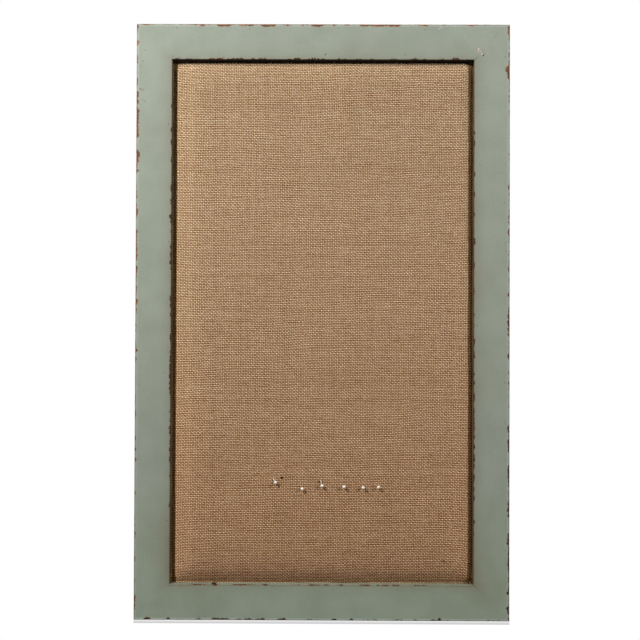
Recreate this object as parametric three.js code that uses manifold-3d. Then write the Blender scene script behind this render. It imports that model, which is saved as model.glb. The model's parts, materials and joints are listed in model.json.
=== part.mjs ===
// Padded linen bulletin board in a painted, mitred wood frame that hangs on two D-rings.
// Millimetres. X runs to the viewer's right, Z up, and Y from the viewer towards the wall.
// The origin is the middle of the board on the wall plane, so the board's face looks along -Y.

import * as THREE from "three";
import { mergeVertices } from "three/addons/utils/BufferGeometryUtils.js";
import Module from "manifold-3d";

const wasm = await Module();
wasm.setup();

// Frame moulding
const BOARD_WIDTH = 510;
const BOARD_HEIGHT = 812;
const RAIL_WIDTH = 50;
const LIP_THICKNESS = 11; // wood in front of the rabbet
const RABBET_WIDTH = 10;
const OUTER_ROUND = 2.5; // eased edge along the outside of the face
const LIP_ROUND = 1; // eased edge along the opening
const BACK_ROUND = 1;
const ROUND_STEPS = 4;
const MITRE_GAP = 0.1; // between the two rails of a corner

// Covered board, from the face to the back
const COVER_THICKNESS = 1;
const COVER_FIT = 1; // between the covered board and the rabbet wall
const COVER_RETURN = 32; // cloth turned onto the back of the core
const PADDING_GAP = 0.3; // between the cloth and the padding
const PADDING_EDGE = 1.2; // padding squeezed flat behind the lip
const PAD_RISE = 12; // crown of the cloth above the lip's rear edge
const PAD_SIDE_ROLL = 14; // distance in from the left and right in which the crown makes 63 % of its rise
const PAD_END_ROLL = 22; // the same from the top and bottom
const PAD_STEPS = 6;
const CORE_THICKNESS = 9.5;
const BACK_THICKNESS = 3;
const BACK_FIT = 0.5; // between the back panel and the rabbet wall
const BACK_SETBACK = 4.5; // wood left behind the retaining points

// Retaining points in the rabbet wall
const POINT_LENGTH = 16;
const POINT_BITE = 6; // driven into the wood
const POINT_WIDTH = 6;
const POINT_NOSE = 4;
const POINT_THICKNESS = 0.5;
const POINT_INSET = 100; // from the rabbet's corner to the first point

// V-shaped corner nails
const NAIL_LEG = 6;
const NAIL_THICKNESS = 0.6;
const NAIL_HEIGHT = 12;
const NAIL_PROUD = 0.1; // above the wood's back
const NAIL_EDGE = 8; // from the outer edge to the first nail
const NAIL_INSET = 6; // from the rabbet wall to the second nail
const SLOT_CLEARANCE = 0.3; // round every nail, point and screw in the wood

// Hangers: strap, D-ring and screws
const HANGER_DROP = 190; // from the board's top to the D-ring's axis
const STRAP_WIDTH = 12;
const STRAP_LENGTH = 40;
const STRAP_GAUGE = 0.9;
const STRAP_SEAM = 0.1; // between the two folded layers
const STRAP_TURN = THREE.MathUtils.degToRad(35); // how far the eye closes past half a turn
const EYE_STEPS = 14;
const RING_WIRE_RADIUS = 1.2;
const RING_PLAY = 0.3; // between the ring's bar and the eye, and from the ring to the wood
const RING_HALF_WIDTH = 9.7; // to the wire's centre
const RING_REACH = 13; // from the axis to the wire's centre at the bow
const RING_SIDES = 10;
const RING_STEPS = 18;
const SCREW_RADIUS = 1.75;
const SCREW_LENGTH = 18;
const SCREW_POINT = 4;
const SCREW_HEAD_RADIUS = 3.5;
const SCREW_HEAD_RIM = 0.7;
const SCREW_HEAD_HEIGHT = 2.2;
const SCREW_SLOT = 0.9;
const SCREW_SLOT_LENGTH = 3.8;
const SCREW_SLOT_DEPTH = 1.1;
const SCREW_DROP = 20; // from the D-ring's axis to the first screw
const SCREW_SPACING = 12;
const SCREW_SIDES = 12;

// Wall bumpers
const BUMPER_RADIUS = 6.5;
const BUMPER_FLAT_RADIUS = 3.5;
const BUMPER_SIDES = 20;
const BUMPER_RISE = 70; // above the board's lower edge
const WALL_CLEARANCE = 0.2; // between the straps' eyes and the wall

// Pins. Each one: where its needle enters the cloth, from the board's middle and above the lower edge
// of the opening, and how far its head leans right and up from there.
const PINS = [
  { across: -65.6, rise: 142.8, leanRight: 3.1, leanUp: -5.3 },
  { across: -27.1, rise: 131.7, leanRight: 0.6, leanUp: -2.6 },
  { across: -1.3, rise: 139.3, leanRight: 1.6, leanUp: -6.1 },
  { across: 29.95, rise: 134.7, leanRight: 0.25, leanUp: -2.7 },
  { across: 56.2, rise: 131.25, leanRight: -0.15, leanUp: -0.35 },
  { across: 76.9, rise: 131.9, leanRight: -0.1, leanUp: -0.35 },
];
const PIN_HEIGHT = 3.6; // from the cloth to the head's centre, square to the board
const PIN_TRAVEL = 3; // how much further a pin can be pushed in
const HEAD_RADIUS = 2.1;
const HEAD_BORE_DEPTH = 3;
const NEEDLE_RADIUS = 0.35;
const NEEDLE_LENGTH = 20; // below the head
const NEEDLE_POINT = 2.5;
const NEEDLE_FIT = 0.1; // round the needle in the head
const NEEDLE_CLEARANCE = 0.3; // round the needle in the cloth, padding and core
const NEEDLE_SIDES = 8;

// Sizes that follow from the ones above
const BACK_WIDTH = RAIL_WIDTH - RABBET_WIDTH; // wood behind the lip, beside the rabbet
const SIGHT_WIDTH = BOARD_WIDTH - 2 * RAIL_WIDTH;
const SIGHT_HEIGHT = BOARD_HEIGHT - 2 * RAIL_WIDTH;
const RABBET_HALF_WIDTH = BOARD_WIDTH / 2 - BACK_WIDTH;
const RABBET_HALF_HEIGHT = BOARD_HEIGHT / 2 - BACK_WIDTH;
const COVER_HALF_WIDTH = RABBET_HALF_WIDTH - COVER_FIT;
const COVER_HALF_HEIGHT = RABBET_HALF_HEIGHT - COVER_FIT;
const CORE_HALF_WIDTH = COVER_HALF_WIDTH - COVER_THICKNESS;
const CORE_HALF_HEIGHT = COVER_HALF_HEIGHT - COVER_THICKNESS;
const STRAP_THICKNESS = 2 * STRAP_GAUGE + STRAP_SEAM;
const EYE_RADIUS = RING_WIRE_RADIUS + RING_PLAY;
const EYE_OUTER_RADIUS = EYE_RADIUS + STRAP_GAUGE;
const BUMPER_THICKNESS = 2 * EYE_OUTER_RADIUS + WALL_CLEARANCE;
const HANGER_X = BOARD_WIDTH / 2 - BACK_WIDTH / 2;
const HANGER_Z = BOARD_HEIGHT / 2 - HANGER_DROP;

// Planes across the depth, from the wall to the face
const WOOD_BACK_Y = -BUMPER_THICKNESS;
const POINT_BACK_Y = WOOD_BACK_Y - BACK_SETBACK;
const PANEL_BACK_Y = POINT_BACK_Y - POINT_THICKNESS;
const PANEL_FRONT_Y = PANEL_BACK_Y - BACK_THICKNESS;
const CORE_BACK_Y = PANEL_FRONT_Y - COVER_THICKNESS;
const CORE_FRONT_Y = CORE_BACK_Y - CORE_THICKNESS;
const SHOULDER_Y = CORE_FRONT_Y - PADDING_EDGE - PADDING_GAP - COVER_THICKNESS;
const FACE_Y = SHOULDER_Y - LIP_THICKNESS;

function finish(color, roughness, metalness = 0) {
  return new THREE.MeshStandardMaterial({ color, roughness, metalness });
}

const PAINTED_WOOD = finish(0x969c8e, 0.55);
const LINEN = finish(0xa4845f, 0.95);
const WADDING = finish(0xece8de, 1);
const FIBREBOARD = finish(0xb59f7c, 0.95);
const HARDBOARD = finish(0x6a4a31, 0.7);
const ZINC_STEEL = finish(0xa9a9a6, 0.35, 1);
const NEEDLE_STEEL = finish(0xb8b8b8, 0.25, 1);
const WHITE_PLASTIC = finish(0xf4f1ea, 0.2);
const RUBBER = finish(0x2b2a29, 0.8);

// Turns a closed geometry into a solid that can be joined and cut.
function solid(geometry) {
  const bare = geometry.clone();
  bare.deleteAttribute("normal");
  bare.deleteAttribute("uv");
  const merged = mergeVertices(bare);
  const corners = Array.from(merged.index.array);
  const kept = [];
  for (let i = 0; i < corners.length; i += 3) {
    const [a, b, c] = corners.slice(i, i + 3);
    if (a !== b && b !== c && c !== a) kept.push(a, b, c);
  }
  return new wasm.Manifold(new wasm.Mesh({
    numProp: 3,
    vertProperties: merged.attributes.position.array,
    triVerts: new Uint32Array(kept),
  }));
}

// Turns a solid back into a geometry.
function surface(body) {
  const { vertProperties, triVerts } = body.getMesh();
  const geometry = new THREE.BufferGeometry();
  geometry.setAttribute("position", new THREE.BufferAttribute(vertProperties, 3));
  geometry.setIndex(new THREE.BufferAttribute(triVerts, 1));
  geometry.computeVertexNormals();
  return geometry;
}

function carve(geometry, cutters) {
  return surface(cutters.reduce((body, cutter) => body.subtract(solid(cutter)), solid(geometry)));
}

function join(first, ...others) {
  return surface(others.reduce((body, other) => body.add(solid(other)), solid(first)));
}

// A flat outline in X and Z, given its thickness along Y between two planes.
function plate(shape, frontY, backY) {
  const slab = new THREE.ExtrudeGeometry(shape, { depth: backY - frontY, bevelEnabled: false });
  return slab.rotateX(Math.PI / 2).translate(0, backY, 0);
}

// A round bar along Y between two planes.
function roundBar(radius, frontY, backY, sides) {
  const bar = new THREE.CylinderGeometry(radius, radius, backY - frontY, sides);
  return bar.translate(0, (frontY + backY) / 2, 0);
}

// Section of the moulding: X is the distance in from the outer edge, Y the depth.
function mouldingSection() {
  const quarter = Math.PI / 2;
  const section = new THREE.Shape();
  section.moveTo(OUTER_ROUND, FACE_Y);
  section.lineTo(RAIL_WIDTH - LIP_ROUND, FACE_Y);
  section.absarc(RAIL_WIDTH - LIP_ROUND, FACE_Y + LIP_ROUND, LIP_ROUND, -quarter, 0);
  section.lineTo(RAIL_WIDTH, SHOULDER_Y);
  section.lineTo(BACK_WIDTH, SHOULDER_Y);
  section.lineTo(BACK_WIDTH, WOOD_BACK_Y);
  section.lineTo(BACK_ROUND, WOOD_BACK_Y);
  section.absarc(BACK_ROUND, WOOD_BACK_Y - BACK_ROUND, BACK_ROUND, quarter, 2 * quarter);
  section.lineTo(0, FACE_Y + OUTER_ROUND);
  section.absarc(OUTER_ROUND, FACE_Y + OUTER_ROUND, OUTER_ROUND, 2 * quarter, 3 * quarter);
  return section;
}

// A length of moulding along X with its outer edge on Z = 0 and the opening below it.
// Each end is drawn in by its distance from the outer edge, which makes the mitre.
function mitredMoulding(length) {
  const options = { depth: 1, bevelEnabled: false, curveSegments: ROUND_STEPS };
  const moulding = new THREE.ExtrudeGeometry(mouldingSection(), options);
  const place = moulding.attributes.position;
  for (let i = 0; i < place.count; i++) {
    const end = length / 2 - place.getX(i) - MITRE_GAP / 2;
    place.setZ(i, place.getZ(i) > 0.5 ? end : -end);
  }
  return moulding.rotateY(Math.PI / 2);
}

// Two equal legs at a right angle, along +X and +Z from the corner between them.
function chevron(leg, thickness) {
  const half = thickness / 2;
  const outline = new THREE.Shape();
  outline.moveTo(-half, -half);
  outline.lineTo(leg, -half);
  outline.lineTo(leg, half);
  outline.lineTo(half, half);
  outline.lineTo(half, leg);
  outline.lineTo(-half, leg);
  return outline;
}

// Distances of a corner's nails from the two outer edges, measured to the corner of each V.
const NAIL_PLACES = [NAIL_EDGE + NAIL_LEG, BACK_WIDTH - NAIL_INSET];

function cornerNail() {
  const backY = WOOD_BACK_Y + NAIL_PROUD;
  return plate(chevron(NAIL_LEG, NAIL_THICKNESS), backY - NAIL_HEIGHT, backY);
}

function nailSlot() {
  const outline = chevron(NAIL_LEG + SLOT_CLEARANCE, NAIL_THICKNESS + 2 * SLOT_CLEARANCE);
  const frontY = WOOD_BACK_Y + NAIL_PROUD - NAIL_HEIGHT - SLOT_CLEARANCE;
  return plate(outline, frontY, WOOD_BACK_Y + SLOT_CLEARANCE);
}

// A retaining point in the frame of its rail: the nose is in the wood, above the rabbet wall.
function retainingPoint() {
  const half = POINT_WIDTH / 2;
  const tip = -BACK_WIDTH + POINT_BITE;
  const outline = new THREE.Shape();
  outline.moveTo(-half, tip - POINT_LENGTH);
  outline.lineTo(half, tip - POINT_LENGTH);
  outline.lineTo(half, tip - POINT_NOSE);
  outline.lineTo(0, tip);
  outline.lineTo(-half, tip - POINT_NOSE);
  return plate(outline, PANEL_BACK_Y, POINT_BACK_Y);
}

function pointSlot() {
  const depth = POINT_BITE + SLOT_CLEARANCE;
  const slot = new THREE.BoxGeometry(
    POINT_WIDTH + 2 * SLOT_CLEARANCE,
    POINT_THICKNESS + 2 * SLOT_CLEARANCE,
    2 * depth,
  );
  return slot.translate(0, (PANEL_BACK_Y + POINT_BACK_Y) / 2, -BACK_WIDTH);
}

function pilotHole() {
  const bottomY = WOOD_BACK_Y + STRAP_THICKNESS - SCREW_LENGTH - SLOT_CLEARANCE;
  const hole = roundBar(SCREW_RADIUS + SLOT_CLEARANCE, bottomY, WOOD_BACK_Y + 1, SCREW_SIDES);
  return hole.translate(0, 0, -BACK_WIDTH / 2);
}

// One rail of the frame, with its slots for nails and points and its holes for hanger screws.
function rail(length, pointPlaces, holePlaces) {
  const cutters = [];
  for (const inset of NAIL_PLACES) {
    const place = length / 2 - inset;
    cutters.push(nailSlot().translate(place, 0, -inset));
    cutters.push(nailSlot().rotateY(-Math.PI / 2).translate(-place, 0, -inset));
  }
  for (const place of pointPlaces) cutters.push(pointSlot().translate(place, 0, 0));
  for (const place of holePlaces) cutters.push(pilotHole().translate(place, 0, 0));
  return carve(mitredMoulding(length), cutters);
}

// Share of the crown's rise at a distance in from the lip.
function swell(distance, roll) {
  return distance > 0 ? 1 - Math.exp(-distance / roll) : 0;
}

// The cloth's outer surface: flat behind the lip, crowned in the opening.
function clothY(x, z) {
  const across = swell(SIGHT_WIDTH / 2 - Math.abs(x), PAD_SIDE_ROLL);
  const up = swell(SIGHT_HEIGHT / 2 - Math.abs(z), PAD_END_ROLL);
  return SHOULDER_Y - PAD_RISE * across * up;
}

// Grid lines across the board: one at the edge, one at the lip, then equal steps of the crown's rise.
function gridPlace(step, halfSight, halfSize, roll) {
  const line = Math.round(Math.abs(step));
  if (line > PAD_STEPS) return Math.sign(step) * halfSize;
  const rise = 1 - line / PAD_STEPS;
  const inset = -roll * Math.log(1 - rise * swell(halfSight, roll));
  return Math.sign(step) * (halfSight - inset);
}

// A block with the cloth's crown on its front, sunk below the cloth's surface, and a flat back.
function crownedBlock(halfWidth, halfHeight, sink, backY) {
  const lines = 2 * (PAD_STEPS + 1);
  const block = new THREE.BoxGeometry(lines, 2, lines, lines, 1, lines);
  const place = block.attributes.position;
  for (let i = 0; i < place.count; i++) {
    const x = gridPlace(place.getX(i), SIGHT_WIDTH / 2, halfWidth, PAD_SIDE_ROLL);
    const z = gridPlace(place.getZ(i), SIGHT_HEIGHT / 2, halfHeight, PAD_END_ROLL);
    const y = place.getY(i) < 0 ? clothY(x, z) + sink : backY;
    place.setXYZ(i, x, y, z);
  }
  return block;
}

function slab(halfWidth, halfHeight, frontY, backY) {
  const box = new THREE.BoxGeometry(2 * halfWidth, backY - frontY, 2 * halfHeight);
  return box.translate(0, (frontY + backY) / 2, 0);
}

// Where each pin enters the cloth, how far its head's centre is from there, and the direction to it.
const PIN_SEATS = PINS.map(({ across, rise, leanRight, leanUp }) => {
  const z = rise - SIGHT_HEIGHT / 2;
  const toHead = new THREE.Vector3(leanRight, -PIN_HEIGHT, leanUp);
  return {
    entry: new THREE.Vector3(across, clothY(across, z), z),
    standoff: toHead.length(),
    direction: toHead.clone().normalize(),
  };
});

// Turns a geometry built along +Z into a pin's direction and moves it to the pin's entry.
function alongPin(geometry, { entry, direction }) {
  const turn = new THREE.Quaternion().setFromUnitVectors(new THREE.Vector3(0, 0, 1), direction);
  return geometry.applyQuaternion(turn).translate(entry.x, entry.y, entry.z);
}

// Needle between the cloth and the head.
function needleShown({ standoff }) {
  return standoff - HEAD_RADIUS;
}

// Needle below the cloth.
function needleDepth(seat) {
  return NEEDLE_LENGTH - needleShown(seat);
}

// Holes that the needles have made, long enough for pins that are pushed right in.
function needleHoles() {
  const radius = NEEDLE_RADIUS + NEEDLE_CLEARANCE;
  return PIN_SEATS.map((seat) => {
    const depth = needleDepth(seat) + PIN_TRAVEL + NEEDLE_CLEARANCE;
    const length = depth + seat.standoff;
    const hole = new THREE.CylinderGeometry(radius, radius, length, NEEDLE_SIDES);
    return alongPin(hole.rotateX(Math.PI / 2).translate(0, 0, seat.standoff - length / 2), seat);
  });
}

// One sheet of cloth over the padding, round the core's edges and onto its back.
function linenCover() {
  const outside = crownedBlock(COVER_HALF_WIDTH, COVER_HALF_HEIGHT, 0, PANEL_FRONT_Y);
  const inside = crownedBlock(CORE_HALF_WIDTH, CORE_HALF_HEIGHT, COVER_THICKNESS, CORE_BACK_Y);
  const window = slab(
    CORE_HALF_WIDTH - COVER_RETURN,
    CORE_HALF_HEIGHT - COVER_RETURN,
    CORE_BACK_Y - COVER_THICKNESS,
    PANEL_FRONT_Y + COVER_THICKNESS,
  );
  return carve(outside, [inside, window, ...needleHoles()]);
}

function padding() {
  const block = crownedBlock(
    CORE_HALF_WIDTH - PADDING_GAP,
    CORE_HALF_HEIGHT - PADDING_GAP,
    COVER_THICKNESS + PADDING_GAP,
    CORE_FRONT_Y,
  );
  return carve(block, needleHoles());
}

function coreBoard() {
  const board = slab(CORE_HALF_WIDTH, CORE_HALF_HEIGHT, CORE_FRONT_Y, CORE_BACK_Y);
  return carve(board, needleHoles());
}

function backPanel() {
  const halfWidth = RABBET_HALF_WIDTH - BACK_FIT;
  const halfHeight = RABBET_HALF_HEIGHT - BACK_FIT;
  return slab(halfWidth, halfHeight, PANEL_FRONT_Y, PANEL_BACK_Y);
}

// Middle line of the strap seen from its side: X is the height above the wood and Y points up the strap.
// It lies on the wood, rolls round the eye and folds back onto itself.
function strapLine() {
  const half = STRAP_GAUGE / 2;
  const radius = EYE_RADIUS + half;
  const upper = STRAP_THICKNESS - half;
  const line = [new THREE.Vector2(half, -STRAP_LENGTH)];
  for (let i = 0; i <= EYE_STEPS; i++) {
    const turn = (i / EYE_STEPS) * (Math.PI + STRAP_TURN);
    const height = EYE_OUTER_RADIUS - radius * Math.cos(turn);
    line.push(new THREE.Vector2(height, radius * Math.sin(turn)));
  }
  const end = line[line.length - 1];
  const run = (end.x - upper) / Math.tan(STRAP_TURN);
  line.push(new THREE.Vector2(upper, end.y - run));
  line.push(new THREE.Vector2(upper, -STRAP_LENGTH));
  return line;
}

// A strip of even thickness along a line of points.
function stripOutline(line, thickness) {
  const side = (sign) => line.map((point, i) => {
    const before = line[Math.max(i - 1, 0)];
    const after = line[Math.min(i + 1, line.length - 1)];
    const into = point.clone().sub(i > 0 ? before : point).normalize();
    const out = (i < line.length - 1 ? after : point).clone().sub(point).normalize();
    const along = into.clone().add(out).normalize();
    const half = thickness / 2 / Math.max(along.dot(into), along.dot(out));
    return new THREE.Vector2(point.x - sign * along.y * half, point.y + sign * along.x * half);
  });
  return new THREE.Shape([...side(1), ...side(-1).reverse()]);
}

// The strap in the hanger's frame: the wood is Y = 0 and the eye's axis is X through the origin of Z.
function hangerStrap() {
  const outline = stripOutline(strapLine(), STRAP_GAUGE);
  const strip = new THREE.ExtrudeGeometry(outline, { depth: STRAP_WIDTH, bevelEnabled: false });
  const toHanger = new THREE.Matrix4().makeBasis(
    new THREE.Vector3(0, 1, 0),
    new THREE.Vector3(0, 0, 1),
    new THREE.Vector3(1, 0, 0),
  );
  strip.applyMatrix4(toHanger).translate(-STRAP_WIDTH / 2, 0, 0);

  const half = STRAP_WIDTH / 2;
  const plan = new THREE.Shape();
  plan.moveTo(half, EYE_OUTER_RADIUS + 1);
  plan.lineTo(-half, EYE_OUTER_RADIUS + 1);
  plan.lineTo(-half, half - STRAP_LENGTH);
  plan.absarc(0, half - STRAP_LENGTH, half, Math.PI, 2 * Math.PI);
  const rounded = solid(strip).intersect(solid(plate(plan, -1, 2 * EYE_OUTER_RADIUS + 1)));

  const holeRadius = SCREW_RADIUS + SLOT_CLEARANCE;
  const holes = screwDrops().map((drop) => {
    return roundBar(holeRadius, -1, STRAP_THICKNESS + 1, SCREW_SIDES).translate(0, 0, -drop);
  });
  return carve(surface(rounded), holes);
}

// How far each screw lies below the D-ring's axis.
function screwDrops() {
  return [SCREW_DROP, SCREW_DROP + SCREW_SPACING];
}

// Half an ellipse from one end of the D-ring's bar to the other.
class RingBow extends THREE.Curve {
  getPoint(t, target = new THREE.Vector3()) {
    const turn = Math.PI * t;
    return target.set(RING_HALF_WIDTH * Math.cos(turn), 0, RING_REACH * Math.sin(turn));
  }
}

// A D of round wire: a straight bar on the X axis and a bow above it.
function dRing() {
  const wire = new THREE.Shape().absarc(0, 0, RING_WIRE_RADIUS, 0, 2 * Math.PI);
  const bow = new THREE.ExtrudeGeometry(wire, {
    steps: RING_STEPS,
    extrudePath: new RingBow(),
    curveSegments: RING_SIDES / 2,
  });
  const bar = new THREE.CylinderGeometry(
    RING_WIRE_RADIUS,
    RING_WIRE_RADIUS,
    2 * RING_HALF_WIDTH,
    RING_SIDES,
  );
  const bend = new THREE.SphereGeometry(RING_WIRE_RADIUS, RING_SIDES, RING_SIDES / 2);
  const left = bend.clone().translate(-RING_HALF_WIDTH, 0, 0);
  const right = bend.clone().translate(RING_HALF_WIDTH, 0, 0);
  return join(bar.rotateZ(Math.PI / 2), bow, left, right);
}

// A pan-head screw along Y: the head's underside is Y = 0 and the point lies at -SCREW_LENGTH.
function strapScrew() {
  const dome = new THREE.EllipseCurve(
    0,
    SCREW_HEAD_RIM,
    SCREW_HEAD_RADIUS,
    SCREW_HEAD_HEIGHT - SCREW_HEAD_RIM,
    0,
    Math.PI / 2,
  );
  const section = [
    new THREE.Vector2(0, -SCREW_LENGTH),
    new THREE.Vector2(SCREW_RADIUS, SCREW_POINT - SCREW_LENGTH),
    new THREE.Vector2(SCREW_RADIUS, 0),
    new THREE.Vector2(SCREW_HEAD_RADIUS, 0),
    ...dome.getPoints(ROUND_STEPS).slice(0, -1),
    new THREE.Vector2(0, SCREW_HEAD_HEIGHT),
  ];
  const screw = new THREE.LatheGeometry(section, SCREW_SIDES);
  const recess = new THREE.BoxGeometry(SCREW_SLOT, 2 * SCREW_SLOT_DEPTH, SCREW_SLOT_LENGTH);
  recess.translate(0, SCREW_HEAD_HEIGHT, 0);
  return carve(screw, [recess, recess.clone().rotateY(Math.PI / 2)]);
}

// A rubber dome with a flat top, standing on the wood and touching the wall.
function wallBumper() {
  const dome = new THREE.EllipseCurve(
    BUMPER_FLAT_RADIUS,
    0,
    BUMPER_RADIUS - BUMPER_FLAT_RADIUS,
    BUMPER_THICKNESS,
    0,
    Math.PI / 2,
  );
  const section = [new THREE.Vector2(0, 0), ...dome.getPoints(ROUND_STEPS)];
  section.push(new THREE.Vector2(0, BUMPER_THICKNESS));
  return new THREE.LatheGeometry(section, BUMPER_SIDES);
}

// A pin's needle along Z: the cloth is Z = 0 and the needle ends inside the head.
function pinNeedle(seat) {
  const top = needleShown(seat) + HEAD_BORE_DEPTH - NEEDLE_CLEARANCE;
  const tip = -needleDepth(seat);
  const section = [
    new THREE.Vector2(0, tip),
    new THREE.Vector2(NEEDLE_RADIUS, tip + NEEDLE_POINT),
    new THREE.Vector2(NEEDLE_RADIUS, top),
    new THREE.Vector2(0, top),
  ];
  return new THREE.LatheGeometry(section, NEEDLE_SIDES).rotateX(Math.PI / 2);
}

function pinHead(seat) {
  const ball = new THREE.SphereGeometry(HEAD_RADIUS, 16, 10).translate(0, 0, seat.standoff);
  const radius = NEEDLE_RADIUS + NEEDLE_FIT;
  const length = 2 * HEAD_BORE_DEPTH;
  const bore = new THREE.CylinderGeometry(radius, radius, length, 2 * NEEDLE_SIDES);
  return carve(ball, [bore.rotateX(Math.PI / 2).translate(0, 0, needleShown(seat))]);
}

function piece(name, geometry, material) {
  const mesh = new THREE.Mesh(geometry, material);
  mesh.name = name;
  return mesh;
}

// One side of the frame, turned into place: the rail and the points driven into it.
function frameSide({ name, length, turn, x, z, points, holes }) {
  const side = new THREE.Group();
  side.rotation.y = turn;
  side.position.set(x, 0, z);
  side.add(piece(name, rail(length, points, holes), PAINTED_WOOD));
  points.forEach((place, i) => {
    const point = piece(`${name}_point_${i + 1}`, retainingPoint(), ZINC_STEEL);
    point.position.x = place;
    side.add(point);
  });
  return side;
}

function frame() {
  const quarter = Math.PI / 2;
  const endPlace = RABBET_HALF_WIDTH - POINT_INSET;
  const sidePlace = RABBET_HALF_HEIGHT - POINT_INSET;
  const acrossPoints = [-endPlace, endPlace];
  const uprightPoints = [-sidePlace, 0, sidePlace];
  const screwHeights = screwDrops().map((drop) => HANGER_Z - drop);
  const sides = [
    { name: "top_rail", length: BOARD_WIDTH, turn: 0, x: 0, z: BOARD_HEIGHT / 2,
      points: acrossPoints, holes: [] },
    { name: "bottom_rail", length: BOARD_WIDTH, turn: 2 * quarter, x: 0, z: -BOARD_HEIGHT / 2,
      points: acrossPoints, holes: [] },
    { name: "left_stile", length: BOARD_HEIGHT, turn: -quarter, x: -BOARD_WIDTH / 2, z: 0,
      points: uprightPoints, holes: screwHeights },
    { name: "right_stile", length: BOARD_HEIGHT, turn: quarter, x: BOARD_WIDTH / 2, z: 0,
      points: uprightPoints, holes: screwHeights.map((height) => -height) },
  ];
  return new THREE.Group().add(...sides.map(frameSide));
}

// The nails of one corner. Their legs point to the outer edges of the two rails.
function cornerNails({ name, right, up, turn }) {
  const nails = new THREE.Group();
  NAIL_PLACES.forEach((inset, i) => {
    const nail = piece(`corner_nail_${name}_${i + 1}`, cornerNail(), ZINC_STEEL);
    nail.rotation.y = turn;
    nail.position.x = right * (BOARD_WIDTH / 2 - inset);
    nail.position.z = up * (BOARD_HEIGHT / 2 - inset);
    nails.add(nail);
  });
  return nails;
}

function corners() {
  const quarter = Math.PI / 2;
  return new THREE.Group().add(
    cornerNails({ name: "top_right", right: 1, up: 1, turn: 0 }),
    cornerNails({ name: "top_left", right: -1, up: 1, turn: -quarter }),
    cornerNails({ name: "bottom_left", right: -1, up: -1, turn: 2 * quarter }),
    cornerNails({ name: "bottom_right", right: 1, up: -1, turn: quarter }),
  );
}

function coveredBoard() {
  return new THREE.Group().add(
    piece("linen_cover", linenCover(), LINEN),
    piece("padding", padding(), WADDING),
    piece("core_board", coreBoard(), FIBREBOARD),
    piece("back_panel", backPanel(), HARDBOARD),
  );
}

// One hanger on the back of a stile, with its ring standing up against the wood.
function hanger(name, x) {
  const group = new THREE.Group();
  group.position.set(x, WOOD_BACK_Y, HANGER_Z);
  group.add(piece(`${name}_hanger_strap`, hangerStrap(), ZINC_STEEL));

  const ring = piece(`${name}_d_ring`, dRing(), ZINC_STEEL);
  ring.position.y = EYE_OUTER_RADIUS;
  ring.rotation.x = Math.asin((EYE_OUTER_RADIUS - RING_WIRE_RADIUS - RING_PLAY) / RING_REACH);
  group.add(ring);

  screwDrops().forEach((drop, i) => {
    const screw = piece(`${name}_hanger_screw_${i + 1}`, strapScrew(), ZINC_STEEL);
    screw.position.set(0, STRAP_THICKNESS, -drop);
    group.add(screw);
  });
  return group;
}

function bumper(name, x) {
  const mesh = piece(`${name}_wall_bumper`, wallBumper(), RUBBER);
  mesh.position.set(x, WOOD_BACK_Y, BUMPER_RISE - BOARD_HEIGHT / 2);
  return mesh;
}

function pin(seat, i) {
  const group = new THREE.Group();
  group.position.copy(seat.entry);
  group.quaternion.setFromUnitVectors(new THREE.Vector3(0, 0, 1), seat.direction);
  group.add(piece(`pin_${i + 1}_head`, pinHead(seat), WHITE_PLASTIC));
  group.add(piece(`pin_${i + 1}_needle`, pinNeedle(seat), NEEDLE_STEEL));
  return group;
}

const bulletinBoard = new THREE.Group();
bulletinBoard.add(frame(), corners(), coveredBoard());
bulletinBoard.add(hanger("left", -HANGER_X), hanger("right", HANGER_X));
bulletinBoard.add(bumper("left", -HANGER_X), bumper("right", HANGER_X));
bulletinBoard.add(...PIN_SEATS.map(pin));

export default bulletinBoard;
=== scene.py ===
"""Looks of a padded linen bulletin board in a mitred frame with worn sage paint.

Metres. X runs to the viewer's right, Z up, and Y from the viewer towards the wall. The origin is the middle
of the board on the wall plane, so the board's face looks along -Y.
"""

import json
import logging
import math
from dataclasses import dataclass, field
from enum import Enum
from typing import Any, Optional, Union

import bpy
import numpy as np
from mathutils import Euler, Matrix, Vector


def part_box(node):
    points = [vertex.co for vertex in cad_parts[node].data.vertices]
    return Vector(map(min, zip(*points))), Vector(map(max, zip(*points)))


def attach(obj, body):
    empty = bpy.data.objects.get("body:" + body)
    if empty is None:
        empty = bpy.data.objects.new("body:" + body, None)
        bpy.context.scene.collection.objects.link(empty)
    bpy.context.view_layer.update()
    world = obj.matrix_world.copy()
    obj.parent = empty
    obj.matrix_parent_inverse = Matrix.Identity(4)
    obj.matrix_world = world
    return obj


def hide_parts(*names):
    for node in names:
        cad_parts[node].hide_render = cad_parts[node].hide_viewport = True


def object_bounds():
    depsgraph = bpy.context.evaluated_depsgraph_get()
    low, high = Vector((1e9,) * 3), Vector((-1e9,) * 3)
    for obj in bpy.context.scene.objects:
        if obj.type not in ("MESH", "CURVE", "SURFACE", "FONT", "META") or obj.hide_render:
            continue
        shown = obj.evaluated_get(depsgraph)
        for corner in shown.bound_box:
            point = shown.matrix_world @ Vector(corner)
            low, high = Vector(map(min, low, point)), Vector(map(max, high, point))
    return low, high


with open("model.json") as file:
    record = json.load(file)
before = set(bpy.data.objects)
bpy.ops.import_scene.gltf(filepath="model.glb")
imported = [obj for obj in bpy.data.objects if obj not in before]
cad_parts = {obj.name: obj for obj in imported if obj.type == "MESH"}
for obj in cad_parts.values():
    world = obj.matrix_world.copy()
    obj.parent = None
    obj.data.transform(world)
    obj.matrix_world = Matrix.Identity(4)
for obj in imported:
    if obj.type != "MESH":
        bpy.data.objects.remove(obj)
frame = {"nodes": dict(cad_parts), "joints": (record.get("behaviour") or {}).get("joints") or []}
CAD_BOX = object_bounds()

LOG = logging.getLogger("bulletin_board")
MM = 0.001
BOARD_BODY = "board"
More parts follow.
